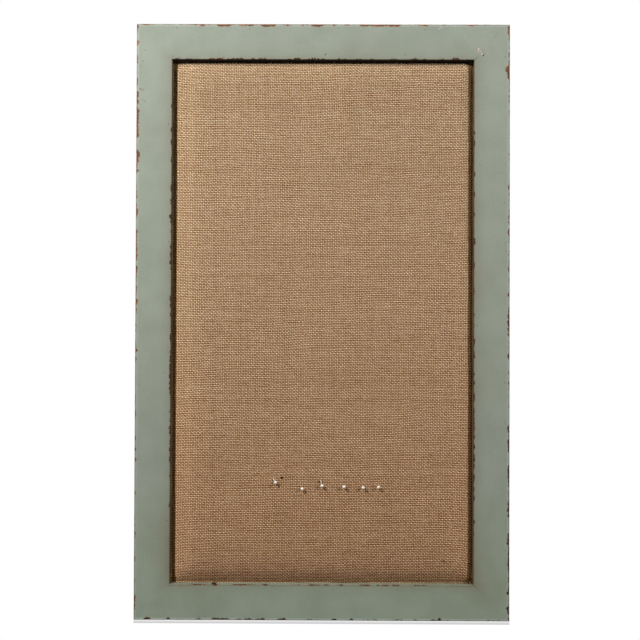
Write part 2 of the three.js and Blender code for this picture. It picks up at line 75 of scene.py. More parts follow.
SHARP_ANGLE = math.radians(38)  # edges sharper than this stay crisp
PIN_COUNT = 6
LIP_THICKNESS = 11 * MM
LIP_WEAR = 1 * MM  # how much the lip has lost of its solid's width
RAIL_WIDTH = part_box("top_rail")[1].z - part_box("top_rail")[0].z - LIP_WEAR

Colour = tuple[float, float, float, float]
Span = tuple[float, float]

WHITE: Colour = (1.0, 1.0, 1.0, 1.0)


def srgb(red: int, green: int, blue: int) -> Colour:
    """Turns a screen colour of 0 to 255 into the linear colour that shaders take.

    Args:
        red: red on the screen.
        green: green on the screen.
        blue: blue on the screen.

    Returns:
        The linear colour with full alpha.
    """
    screen = np.array([red, green, blue]) / 255
    linear = np.where(screen <= 0.04045, screen / 12.92, ((screen + 0.055) / 1.055) ** 2.4)
    return (*linear.tolist(), 1.0)


class Signal:
    """A value that varies over a surface. Arithmetic on signals adds Math nodes to their tree."""

    def __init__(self, graph: "Graph", socket: bpy.types.NodeSocket) -> None:
        """Keeps the tree and the socket that gives the value."""
        self.graph = graph
        self.socket = socket

    def __add__(self, other: "Operand") -> "Signal":
        """Sum of two values."""
        return self.graph.math("ADD", self, other)

    def __sub__(self, other: "Operand") -> "Signal":
        """First value less the second."""
        return self.graph.math("SUBTRACT", self, other)

    def __rsub__(self, other: "Operand") -> "Signal":
        """A number less this value."""
        return self.graph.math("SUBTRACT", other, self)

    def __mul__(self, other: "Operand") -> "Signal":
        """Product of two values."""
        return self.graph.math("MULTIPLY", self, other)

    def __truediv__(self, other: "Operand") -> "Signal":
        """First value over the second."""
        return self.graph.math("DIVIDE", self, other)

    __radd__ = __add__
    __rmul__ = __mul__


Operand = Union[Signal, float]


class Graph:
    """Builds the nodes of one material or node group."""

    def __init__(self, tree: bpy.types.NodeTree) -> None:
        """Keeps the tree that nodes are added to."""
        self.tree = tree

    def node(self, kind: str, **settings: Any) -> bpy.types.Node:
        """Adds a node.

        Args:
            kind: the node's class name, without the leading ShaderNode.
            settings: properties to set on it.

        Returns:
            The new node.
        """
        made = self.tree.nodes.new("ShaderNode" + kind)
        for name, value in settings.items():
            setattr(made, name, value)
        return made

    def feed(self, socket: bpy.types.NodeSocket, value: Any) -> None:
        """Links a signal to a socket, or sets a plain value on it."""
        if isinstance(value, Signal):
            self.tree.links.new(value.socket, socket)
        elif value is not None:
            socket.default_value = value

    def call(self, made: bpy.types.Node, inputs: dict[Any, Any], output: Any = 0) -> Signal:
        """Feeds a node's inputs.

        Args:
            made: the node.
            inputs: values by the input's name or number.
            output: the output's name or number.

        Returns:
            The signal of that output.
        """
        for name, value in inputs.items():
            self.feed(made.inputs[name], value)
        return Signal(self, made.outputs[output])

    def math(self, operation: str, *values: Operand) -> Signal:
        """One Math node over the values."""
        return self.call(self.node("Math", operation=operation), dict(enumerate(values)))

    def vector(self, x: Operand, y: Operand, z: Operand = 0.0) -> Signal:
        """A vector of three values."""
        return self.call(self.node("CombineXYZ"), {0: x, 1: y, 2: z})

    def vectors(self, operation: str, *values: Any, output: int = 0) -> Signal:
        """One Vector Math node over the values; output 1 is a plain number."""
        return self.call(self.node("VectorMath", operation=operation), dict(enumerate(values)), output)

    def parts(self, vector: Signal) -> list[Signal]:
        """The three values of a vector."""
        split = self.node("SeparateXYZ")
        self.feed(split.inputs[0], vector)
        return [Signal(self, output) for output in split.outputs]

    def place(self) -> Signal:
        """The point's place in the object's frame, in metres."""
        return Signal(self, self.node("TexCoord").outputs["Object"])

    def attribute(self, name: str, output: str = "Fac") -> Signal:
        """A value or vector that the mesh carries under a name."""
        return Signal(self, self.node("Attribute", attribute_name=name).outputs[output])

    def noise(self, vector: Signal, scale: float, detail: float = 2.0, rough: float = 0.5) -> Signal:
        """Smooth noise from 0 to 1 with its mean near 0.5.

        Args:
            vector: where it is read.
            scale: features per unit.
            detail: octaves of finer noise.
            rough: strength of each finer octave.

        Returns:
            The noise value.
        """
        inputs = {"Vector": vector, "Scale": scale, "Detail": detail, "Roughness": rough}
        return self.call(self.node("TexNoise"), inputs)

    def random(self, vector: Signal) -> Signal:
        """A number from 0 to 1 that changes abruptly with its vector."""
        return self.call(self.node("TexWhiteNoise"), {"Vector": vector})

    def between(self, value: Operand, low: Operand, high: Operand) -> Signal:
        """Smooth step: 0 below low, 1 above high."""
        made = self.node("MapRange", interpolation_type="SMOOTHSTEP")
        return self.call(made, {0: value, 1: low, 2: high, 3: 0.0, 4: 1.0})

    def blend(self, share: Operand, first: Any, second: Any, mode: str = "MIX") -> Signal:
        """Mixes two colours.

        Args:
            share: how much of the second shows, 0 to 1.
            first: colour or signal below.
            second: colour or signal on top.
            mode: how the second is laid on.

        Returns:
            The mixed colour.
        """
        made = self.node("Mix", data_type="RGBA", blend_type=mode)
        return self.call(made, {0: share, 6: first, 7: second}, 2)

    def ramp(self, value: Operand, stops: dict[float, Colour]) -> Signal:
        """A colour that runs straight from stop to stop, by the stop's place from 0 to 1."""
        made = self.node("ValToRGB")
        elements = made.color_ramp.elements
        for place in list(stops)[1:-1]:
            elements.new(place)
        for element, (place, colour) in zip(elements, stops.items()):
            element.position, element.color = place, colour
        return self.call(made, {0: value})

    def grey(self, value: Operand) -> Signal:
        """A grey of that value, to multiply a colour by."""
        return self.call(self.node("CombineColor"), {0: value, 1: value, 2: value})

    def bump(self, height: Signal, depth: float, below: Optional[Signal] = None) -> Signal:
        """Normals of a relief.

        Args:
            height: relief in shares of its depth.
            depth: metres for a height of 1.
            below: normals of a coarser relief that this one lies on.

        Returns:
            The bent normal.
        """
        inputs = {"Strength": 1.0, "Distance": depth, "Height": height, "Normal": below}
        return self.call(self.node("Bump"), inputs)

    def group(self, tree: bpy.types.NodeTree, **inputs: Any) -> dict[str, Signal]:
        """Places a node group.

        Args:
            tree: the group.
            inputs: values by socket name, with spaces as underscores.

        Returns:
            The group's outputs by name.
        """
        made = self.node("Group", node_tree=tree)
        for name, value in inputs.items():
            self.feed(made.inputs[name.replace("_", " ")], value)
        return {output.name: Signal(self, output) for output in made.outputs}


class Socket(Enum):
    """Kinds of socket on a node group."""

    VALUE = "NodeSocketFloat"
    VECTOR = "NodeSocketVector"


class EffectGroup:
    """A shader node group with named inputs and outputs."""

    def __init__(self, name: str, inputs: dict[str, Socket], outputs: dict[str, Socket]) -> None:
        """Makes the group's sockets.

        Args:
            name: the group's name.
            inputs: kind of each input.
            outputs: kind of each output.
        """
        self.tree = bpy.data.node_groups.new(name, "ShaderNodeTree")
        for label, kind in inputs.items():
            self.tree.interface.new_socket(label, in_out="INPUT", socket_type=kind.value)
        for label, kind in outputs.items():
            self.tree.interface.new_socket(label, in_out="OUTPUT", socket_type=kind.value)
        self.graph = Graph(self.tree)
        entry = self.tree.nodes.new("NodeGroupInput")
        self.inputs = {s.name: Signal(self.graph, s) for s in entry.outputs if s.name in inputs}
        self.exit = self.tree.nodes.new("NodeGroupOutput")

    def put_out(self, **signals: Signal) -> bpy.types.NodeTree:
        """Links signals to the outputs, named with underscores for spaces, and returns the group."""
        for name, signal in signals.items():
            self.graph.feed(self.exit.inputs[name.replace("_", " ")], signal)
        return self.tree


def mottle_group() -> bpy.types.NodeTree:
    """Cloudy patches and fine grain that every finish has a little of.

    Returns:
        A group that gives Cloud, soft patches from -1 to 1, and Grain, specks from -1 to 1.
    """
    group = EffectGroup(
        "Mottle",
        {"Place": Socket.VECTOR, "Patch Scale": Socket.VALUE, "Grain Scale": Socket.VALUE},
        {"Cloud": Socket.VALUE, "Grain": Socket.VALUE},
    )
    graph = group.graph
    place = group.inputs["Place"]
    cloud = graph.noise(place, group.inputs["Patch Scale"], 2.0, 0.45)
    grain = graph.noise(place, group.inputs["Grain Scale"], 3.0, 0.6)
    return group.put_out(Cloud=(cloud - 0.5) * 3.0, Grain=(grain - 0.5) * 3.0)


def streak_group() -> bpy.types.NodeTree:
    """Long fibres or brush marks: noise drawn out along X.

    Returns:
        A group that gives Coarse and Fine streaks from 0 to 1.
    """
    group = EffectGroup(
        "Streaks",
        {"Place": Socket.VECTOR, "Scale": Socket.VALUE, "Stretch": Socket.VALUE},
        {"Coarse": Socket.VALUE, "Fine": Socket.VALUE},
    )
    graph = group.graph
    x, y, z = graph.parts(group.inputs["Place"])
    drawn = graph.vector(x / group.inputs["Stretch"], y, z)
    coarse = graph.noise(drawn, group.inputs["Scale"], 3.0, 0.55)
    fine = graph.noise(drawn, group.inputs["Scale"] * 4.0, 2.0, 0.6)
    return group.put_out(Coarse=coarse, Fine=fine)


def thread_set(
    group: EffectGroup, over: Signal, run: Signal, seed: float, first: float, slubs: float
) -> tuple[Signal, Signal, Signal]:
    """One set of parallel threads.

    A thread's section is the half circle sqrt(1 - (f / w)^2), where f is the distance from its middle line
    and w its half width, which a slow noise changes along it. It rises and dips as cos(pi (v + i)) along its
    length, with i the thread's number.

    Args:
        group: the weave's group, with its Width and Unevenness.
        over: coordinate across the threads.
        run: coordinate along them.
        seed: keeps the two sets apart.
        first: 1 where even threads start on top, -1 where they start below.
        slubs: thick and thin places per crossing.

    Returns:
        Height, whether there is thread, and its tone.
    """
    graph = group.graph
    number = graph.math("FLOOR", over)
    off = over - number - 0.5
    own = graph.random(graph.vector(number, seed))
    slow = graph.noise(graph.vector(number * 3.7 + seed, run * slubs, seed), 1.0, 3.0, 0.6)
    uneven = (own - 0.5) * 0.5 + (slow - 0.5) * 2.2
    swell = 1.0 + uneven * group.inputs["Unevenness"]
    share = off / (group.inputs["Width"] * 0.5 * swell)
    inside = graph.math("MAXIMUM", 1.0 - share * share, 0.0)
    section = graph.math("SQRT", inside) * swell
    wave = graph.math("COSINE", (run - 0.5 + number) * math.pi) * first
    there = graph.between(inside, 0.0, 0.15)
    height = (section * 0.45 + wave * 0.4 + 0.4) * there
    return height, there, own * 0.3 + slow * 0.7


def plain_weave_group() -> bpy.types.NodeTree:
    """Plain weave of uneven threads, on coordinates u and v counted in threads.

    At each crossing the higher of the two sets is on top, and its neighbours have the other one. Slant is
    cos(pi (u + v)), which runs along one diagonal; the cloth paints relief shading with it.

    Returns:
        A group that gives the relief's Height, the Open gaps, where the Warp is on top, each thread's Tone
        and Fibre, a random value per Crossing, the diagonal Twist, and Rows and Columns, which run from -1
        between threads to 1.
    """
    group = EffectGroup(
        "Plain weave",
        {"Threads": Socket.VECTOR, "Width": Socket.VALUE, "Unevenness": Socket.VALUE, "Wander": Socket.VALUE},
        dict.fromkeys(
            ("Height", "Open", "Warp", "Tone", "Fibre", "Crossing", "Twist", "Rows", "Columns"), Socket.VALUE
        ),
    )
    graph = group.graph
    across, along, _ = graph.parts(group.inputs["Threads"])
    wander = group.inputs["Wander"]

    slow_u = graph.noise(graph.vector(across * 0.014, along * 0.014, 1.0), 1.0, 1.0) - 0.5
    slow_v = graph.noise(graph.vector(across * 0.014, along * 0.014, 5.0), 1.0, 1.0) - 0.5
    drift_u = graph.noise(graph.vector(across * 0.21, along * 0.05, 3.0), 1.0, 2.0) - 0.5
    drift_v = graph.noise(graph.vector(across * 0.05, along * 0.21, 7.0), 1.0, 2.0) - 0.5
    across = across + drift_u * wander + slow_u * 3.0
    along = along + drift_v * wander + slow_v * 4.0

    warp_height, warp_there, warp_tone = thread_set(group, across, along, 11.0, 1.0, 0.24)
    weft_height, weft_there, weft_tone = thread_set(group, along, across, 29.0, -1.0, 0.1)
    height = graph.math("MAXIMUM", warp_height, weft_height)
    warp = graph.between(warp_height - weft_height, -0.04, 0.04)
    gap = (1.0 - warp_there) * (1.0 - weft_there)
    tone = weft_tone + (warp_tone - weft_tone) * warp
    warp_fibre = graph.noise(graph.vector(across * 7.0, along * 1.3, 5.0), 1.0, 1.0)
    weft_fibre = graph.noise(graph.vector(across * 1.3, along * 7.0, 9.0), 1.0, 1.0)
    fibre = weft_fibre + (warp_fibre - weft_fibre) * warp
    crossing = graph.random(graph.vector(graph.math("FLOOR", across), graph.math("FLOOR", along), 2.0))
    slant = graph.math("COSINE", (across + along) * math.pi)
    rows = graph.math("COSINE", along * (2 * math.pi)) * -1.0
    columns = graph.math("COSINE", across * (2 * math.pi)) * -1.0
    return group.put_out(
        Height=height, Open=gap, Warp=warp, Tone=tone, Fibre=fibre, Crossing=crossing, Twist=slant, Rows=rows,
        Columns=columns,
    )


def stroke_group() -> bpy.types.NodeTree:
    """A short stroke with round ends.

    The distance of a point p from the stroke that starts at a and runs by d is |p - a - t d|, where t is
    (p - a) . d / d . d held between 0 and 1.

    Returns:
        A group that gives its Mask, 1 on the stroke and 0 beyond its Width.
    """
    group = EffectGroup(
        "Stroke",
        {"Place": Socket.VECTOR, "Start": Socket.VECTOR, "Run": Socket.VECTOR, "Width": Socket.VALUE},
        {"Mask": Socket.VALUE},
    )
    graph = group.graph
    run, width = group.inputs["Run"], group.inputs["Width"]
    off = graph.vectors("SUBTRACT", group.inputs["Place"], group.inputs["Start"])
    ahead = graph.vectors("DOT_PRODUCT", off, run, output=1)
    share = ahead / graph.vectors("DOT_PRODUCT", run, run, output=1)
    share = graph.math("MINIMUM", graph.math("MAXIMUM", share, 0.0), 1.0)
    near = graph.vectors("MULTIPLY", run, graph.vector(share, share, share))
    distance = graph.vectors("DISTANCE", off, near, output=1)
    return group.put_out(Mask=1.0 - graph.between(distance, width * 0.4, width))


class Effects:
    """The node groups that the finishes share, each built once."""

    def __init__(self) -> None:
        """Builds the groups."""
        self.mottle = mottle_group()
        self.streaks = streak_group()
        self.weave = plain_weave_group()
        self.stroke = stroke_group()


@dataclass(frozen=True)
class Mark:
    """A scratch, fleck or speck seen from the front, in millimetres from the board's middle."""

    start: tuple[float, float]
    run: tuple[float, float]
    width: float
    colour: Colour
    strength: float


@dataclass(frozen=True)
class Finish:
    """A surface finish. Each kind paints its own colour, roughness and relief."""

    name: str
    slot: str

    def paint(self, graph: Graph, effects: Effects) -> dict[str, Any]:
        """The Principled sockets of this finish, as signals or plain values."""
        raise NotImplementedError

    @staticmethod
    def marked(graph: Graph, effects: Effects, colour: Signal, marks: tuple[Mark, ...]) -> Signal:
        """Draws marks on a colour.

        Args:
            graph: where nodes go.
            effects: the shared node groups.
            colour: colour below.
            marks: what is drawn.

        Returns:
            The marked colour.
        """
        x, _, z = graph.parts(graph.place())
        level = graph.vector(x, z)
        for mark in marks:
            start, run = ((*(value * MM for value in pair), 0.0) for pair in (mark.start, mark.run))
            stroke = graph.group(effects.stroke, Place=level, Start=start, Run=run, Width=mark.width * MM)
            colour = graph.blend(stroke["Mask"] * mark.strength, colour, mark.colour)
        return colour

    def material(self, effects: Effects) -> bpy.types.Material:
        """Makes the material.

        Args:
            effects: the shared node groups.

        Returns:
            A material with one Principled shader.
        """
        made = bpy.data.materials.new(self.name)
        made.use_nodes = True
        tree = made.node_tree
        tree.nodes.clear()
        graph = Graph(tree)
        shader = graph.node("BsdfPrincipled")
        for socket, value in self.paint(graph, effects).items():
            graph.feed(shader.inputs[socket], value)
        out = graph.node("OutputMaterial")
        tree.links.new(shader.outputs[0], out.inputs["Surface"])
        return made


# Scratches and flecks on the paint, then dark slubs and specks on the cloth, the first two where pins go in.
PAINT_MARKS = (
    Mark((211.8, 372.2), (-0.9, -4.3), 0.8, srgb(206, 172, 160), 0.55),
    Mark((211.8, 372.2), (0.1, -0.6), 1.1, srgb(230, 204, 194), 0.7),
    Mark((213.7, 369.2), (0.5, -0.6), 0.9, srgb(214, 192, 182), 0.55),
    Mark((216.2, 365.6), (0.8, -0.8), 1.0, srgb(226, 204, 194), 0.6),
    Mark((217.1, 371.0), (1.7, -2.4), 0.9, srgb(150, 100, 88), 0.65),
    Mark((218.8, 368.6), (0.3, -4.3), 0.7, srgb(150, 110, 98), 0.5),
    Mark((219.1, 364.6), (-1.2, -1.9), 1.1, srgb(66, 32, 28), 0.85),
    Mark((157.2, 399.1), (5.6, 3.3), 1.0, srgb(186, 194, 181), 0.4),
    Mark((221.0, 402.2), (0.2, 0.0), 1.0, srgb(104, 108, 100), 0.5),
    Mark((216.9, -372.0), (1.4, -1.4), 0.9, srgb(96, 90, 78), 0.4),
    Mark((-201.6, 357.8), (4.6, 0.3), 1.2, srgb(52, 34, 26), 0.85),
    Mark((-142.0, 358.3), (2.4, 0.0), 1.0, srgb(60, 36, 26), 0.8),
    Mark((-136.8, 359.4), (0.6, 0.4), 1.0, srgb(122, 70, 50), 0.8),
    Mark((-148.6, -356.8), (4.6, 0.0), 1.25, srgb(46, 22, 15), 1.0),
    Mark((206.7, -300.3), (0.3, 0.0), 1.1, srgb(176, 118, 82), 0.8),
    Mark((209.1, -302.4), (0.2, 0.0), 0.9, srgb(176, 118, 82), 0.7),
    Mark((209.3, -315.3), (0.3, 0.0), 1.1, srgb(176, 112, 74), 0.8),
    Mark((207.0, -322.8), (0.3, 0.0), 1.1, srgb(176, 118, 82), 0.8),
    Mark((192.4, 387.9), (0.4, 0.2), 1.0, srgb(178, 184, 172), 0.4),
    Mark((227.8, 390.6), (2.2, 1.6), 0.8, srgb(176, 182, 170), 0.35),
    Mark((232.5, 378.4), (0.4, 0.2), 1.0, srgb(178, 184, 172), 0.4),
    Mark((-250.8, 317.1), (5.4, -2.7), 1.0, srgb(122, 78, 58), 0.7),
    Mark((-243.8, 369.5), (0.3, 0.0), 1.0, srgb(104, 92, 80), 0.7),
    Mark((-246.4, 354.5), (0.5, -0.6), 1.0, srgb(104, 84, 68), 0.8),
    Mark((-243.8, 299.3), (0.3, 0.3), 1.0, srgb(92, 76, 64), 0.8),
    Mark((-246.7, 301.5), (0.3, 0.0), 0.9, srgb(120, 94, 78), 0.7),
    Mark((64.2, -358.8), (0.5, -1.8), 1.2, srgb(170, 116, 78), 0.7),
    Mark((79.2, -359.2), (1.6, -1.2), 1.0, srgb(160, 118, 90), 0.6),
)
CLOTH_MARKS = (
    Mark((-55.0, -212.0), (1.4, -0.8), 1.8, srgb(52, 30, 18), 1.0),
    Mark((-3.9, -217.3), (1.2, -0.4), 1.6, srgb(64, 36, 22), 0.9),
    Mark((59.6, -244.2), (2.2, 0.0), 1.4, srgb(92, 56, 40), 0.8),
    Mark((163.8, -324.8), (3.0, 0.0), 2.6, srgb(96, 80, 56), 0.55),
    Mark((170.6, -348.0), (0.8, 0.8), 1.8, srgb(196, 160, 92), 0.5),
    Mark((-49.4, 184.3), (1.6, 0.0), 1.3, srgb(132, 66, 48), 0.6),
)


@dataclass(frozen=True)
class SagePaint(Finish):
    """Sage paint over red-brown wood: glazed by the opening, rubbed on the edges, bare on the back, with
    painted shade and highlights.
    """

    paint_colour: Colour = srgb(142, 149, 136)
    cloud_colour: Colour = srgb(134, 141, 127)
    low_tint: Colour = (1.0, 1.06, 1.0, 1.0)  # the paint is greener towards the bottom
    low_from: Span = (-380 * MM, -180 * MM)
    warm_glaze: Colour = srgb(118, 110, 90)
    rub_light: Colour = srgb(152, 104, 70)
    rub_dark: Colour = srgb(100, 66, 44)
    # Painted shade on the wood of the rubs.
    rub_shade_colour: Colour = srgb(48, 22, 15)
    # Painted shade on the lip's wall and very edge; also the colour of the dark hairlines on the mitres.
    shade_and_joint_dark: Colour = srgb(42, 31, 19)
    # Painted highlight on the eased outer edge; also the colour of the pale hairlines on the mitres.
    highlight_and_pale_joint: Colour = srgb(176, 184, 170)
    # Painted highlight on the sill's eased edge, which gets little light from below.
    sill_highlight: Colour = srgb(214, 224, 208)
    bare_wood: Colour = srgb(178, 142, 104)
    bare_grain: Colour = srgb(128, 92, 62)
    outer_ease: float = 1.4 * MM  # from the sharp corner to the middle of the eased edge
    lip_ease: float = 0.34 * MM
    bare_from: float = 31.3 * MM  # depth from the face past which the wood is bare
    glaze_reach: float = 9 * MM
    fleck_reach: float = 7 * MM  # from the edges, within which flecks of wood show
    eased_highlight_share: float = 0.22  # how much the painted highlight lightens the eased edge
    sill_line_share: float = 0.5
    fringe_share: float = 0.3  # of glaze round a rub

    def paint(self, graph: Graph, effects: Effects) -> dict[str, Any]:
        """Paint, glaze, rubbed edges, bare back and painted shade and highlights, on the rail's own
        coordinates.
        """
        rail = graph.attribute("rail_place", "Vector")
        _, across, depth = graph.parts(rail)
        edge = across + depth - self.outer_ease
        lip = RAIL_WIDTH - across + depth - self.lip_ease
        mottle = graph.group(effects.mottle, Place=rail, Patch_Scale=26.0, Grain_Scale=420.0)
        brush = graph.group(effects.streaks, Place=rail, Scale=420.0, Stretch=14.0)
        grain = graph.group(effects.streaks, Place=rail, Scale=260.0, Stretch=22.0)
        ragged = graph.noise(rail, 60.0, 3.0)

        shade = 1.0 + mottle["Cloud"] * 0.02 + mottle["Grain"] * 0.08 + (brush["Coarse"] - 0.5) * 0.05
        colour = self.coat(graph, mottle["Cloud"], shade, edge)
        colour = self.glazed(graph, colour, ragged, lip)
        colour = self.mitre_line(graph, colour)
        colour = self.marked(graph, effects, colour, PAINT_MARKS)
        colour = self.shade_lip(graph, colour, lip, depth)
        colour, rubbed = self.rubbed_through(graph, colour, rail, edge, lip)
        bare_colour = graph.blend(graph.between(grain["Coarse"], 0.35, 0.7), self.bare_wood, self.bare_grain)
        bare = graph.between(depth + (ragged - 0.5) * 0.5 * MM, self.bare_from, self.bare_from + 0.3 * MM)
        relief = mottle["Grain"] * 0.05 + brush["Coarse"] * 0.2 - rubbed * (0.7 + grain["Fine"] * 0.5)
        return {
            "Base Color": graph.blend(bare, colour, bare_colour),
            "Roughness": 0.5 + mottle["Cloud"] * 0.05 + graph.math("MAXIMUM", rubbed, bare) * 0.2,
            "Specular IOR Level": 0.2,
            "Normal": graph.bump(relief, 0.25 * MM),
        }

    def coat(self, graph: Graph, cloud: Signal, shade: Signal, edge: Signal) -> Signal:
        """The paint itself: cloudy, greener towards the bottom, with painted highlights on its eased edge and
        the sill's.

        Args:
            graph: where nodes go.
            cloud: soft patches from -1 to 1.
            shade: brightness, about 1.
            edge: distance from the eased outer edge.

        Returns:
            Its colour.
        """
        tint = graph.blend(graph.between(cloud, -1.2, 0.9), self.cloud_colour, self.paint_colour)
        colour = graph.blend(1.0, tint, graph.grey(shade), "MULTIPLY")
        _, _, height = graph.parts(graph.place())
        greener = graph.blend(graph.between(height, *self.low_from), self.low_tint, WHITE)
        colour = graph.blend(1.0, colour, greener, "MULTIPLY")
        # Painted highlight along the eased outer edge.
        eased = graph.between(edge, 0.2 * MM, 1.2 * MM) * (1.0 - graph.between(edge, 1.6 * MM, 3.2 * MM))
        colour = graph.blend(eased * self.eased_highlight_share, colour, self.highlight_and_pale_joint)
        # Painted highlight on the sill's eased edge.
        sill = (1.0 - graph.between(edge, 0.3 * MM, 1.6 * MM)) * graph.attribute("sill")
        return graph.blend(sill, colour, self.sill_highlight)

    def glazed(self, graph: Graph, colour: Signal, ragged: Signal, lip: Signal) -> Signal:
        """Brown glaze that falls off as e^(-d / r) from the lip, smudges, and a line beside the sill's lip.

        Args:
            graph: where nodes go.
            colour: paint below.
            ragged: noise that breaks the glaze up.
            lip: distance d from the eased lip.

        Returns:
            The glazed paint.
        """
        thick = 0.4 + ragged * 0.6
        near_lip = graph.math("EXPONENT", lip / self.glaze_reach * -1.0) * thick
        glaze = near_lip * graph.attribute("glaze") + graph.attribute("smudge") * thick
        # A darker line on the sill beside its lip.
        sill_line = graph.between(lip, 0.2 * MM, 0.7 * MM) * (1.0 - graph.between(lip, 1.2 * MM, 2.6 * MM))
        glaze = glaze + sill_line * graph.attribute("sill") * self.sill_line_share
        return graph.blend(graph.math("MINIMUM", glaze, 1.0), colour, self.warm_glaze)

    def shade_lip(self, graph: Graph, colour: Signal, lip: Signal, depth: Signal) -> Signal:
        """Paints shade on the lip's very edge and on its wall.

        Args:
            graph: where nodes go.
            colour: paint below.
            lip: distance from the eased lip.
            depth: depth from the face.

        Returns:
            The paint with its painted shade.
        """
        # Painted shade: the lip's very edge, then its wall, as dark as each side's lip shade says.
        arris_shade = (1.0 - graph.between(lip, 0.0, 0.7 * MM)) * graph.attribute("arris_shade")
        colour = graph.blend(arris_shade, colour, self.shade_and_joint_dark)
        wall = graph.between(depth, 0.5 * MM, 1.6 * MM) * (1.0 - graph.between(lip - depth, 0.0, 2.0 * MM))
        return graph.blend(wall * graph.attribute("shade_and_joint_dark"), colour, self.shade_and_joint_dark)

    def rubbed_through(
        self, graph: Graph, colour: Signal, rail: Signal, edge: Signal, lip: Signal
    ) -> tuple[Signal, Signal]:
        """Bare wood in the rubs and in a few flecks near the edges, with a brown fringe round each and
        painted shade on the wood.

        Args:
            graph: where nodes go.
            colour: paint below.
            rail: place on the rail.
            edge: distance from the eased outer edge.
            lip: distance from the eased lip.

        Returns:
            The colour, and the mask of the wood.
        """
        coarse = graph.noise(rail, 230.0, 2.0, 0.6)
        fine = graph.noise(rail, 800.0, 2.0, 0.6)
        tooth = graph.math("MAXIMUM", (coarse * 0.6 + fine * 0.4 - 0.38) * 6.5, 0.0)
        at_edge = self.inside_rub(graph, "rub_outer", tooth, edge)
        at_lip = self.inside_rub(graph, "rub_lip", tooth, lip)
        nearest = graph.math("MINIMUM", edge, lip)
        flecks = (coarse - 0.715) * 0.03 - graph.math("MAXIMUM", nearest - self.fleck_reach, 0.0) * 0.5
        inside = graph.math("MAXIMUM", graph.math("MAXIMUM", at_edge, at_lip), flecks)
        rubbed = graph.between(inside, -0.12 * MM, 0.12 * MM)
        fringe = graph.between(inside, -0.9 * MM, 0.1 * MM) * self.fringe_share
        colour = graph.blend(fringe, colour, self.warm_glaze)
        wood_tone = graph.between(graph.noise(rail, 150.0, 3.0, 0.6) + inside * 90.0, 0.36, 0.66)
        wood = graph.blend(wood_tone, self.rub_light, self.rub_dark)
        # Painted shade on the rubbed wood, strongest on rubs that face away from the lamps.
        rub_shade = graph.attribute("rub_shade") * (0.6 + fine * 0.8)
        wood = graph.blend(graph.math("MINIMUM", rub_shade, 1.0), wood, self.rub_shade_colour)
        return graph.blend(rubbed, colour, wood), rubbed

    @staticmethod
    def inside_rub(graph: Graph, reach: str, tooth: Signal, away: Signal) -> Signal:
        """How far inside a rub a point lies, in metres; wide rubs are less broken up.

        Args:
            graph: where nodes go.
            reach: name of the attribute with the rub's reach.
            tooth: raggedness, about 0 to 1.5.
            away: distance from the eased edge.

        Returns:
            Positive inside the rub.
        """
        far = graph.attribute(reach)
        whole = graph.between(far, 1.4 * MM, 3.4 * MM)
        return far * (tooth + (1.0 - tooth) * whole * 0.7) - away - 0.3 * MM

    def mitre_line(self, graph: Graph, colour: Signal) -> Signal:
        """A hairline on the mitre, pale or dark by the corner.

        Args:
            graph: where nodes go.
            colour: paint below the line.

        Returns:
            The paint with its line.
        """
        broken = graph.between(graph.noise(graph.attribute("rail_place", "Vector"), 210.0, 2.0), 0.36, 0.6)
        near = (1.0 - graph.between(graph.attribute("mitre"), 0.15 * MM, 0.7 * MM)) * (0.35 + broken * 0.65)
        hair = graph.attribute("hair")
        colour = graph.blend(near * graph.math("MAXIMUM", hair, 0.0), colour, self.highlight_and_pale_joint)
        return graph.blend(near * graph.math("MAXIMUM", hair * -1.0, 0.0), colour, self.shade_and_joint_dark)


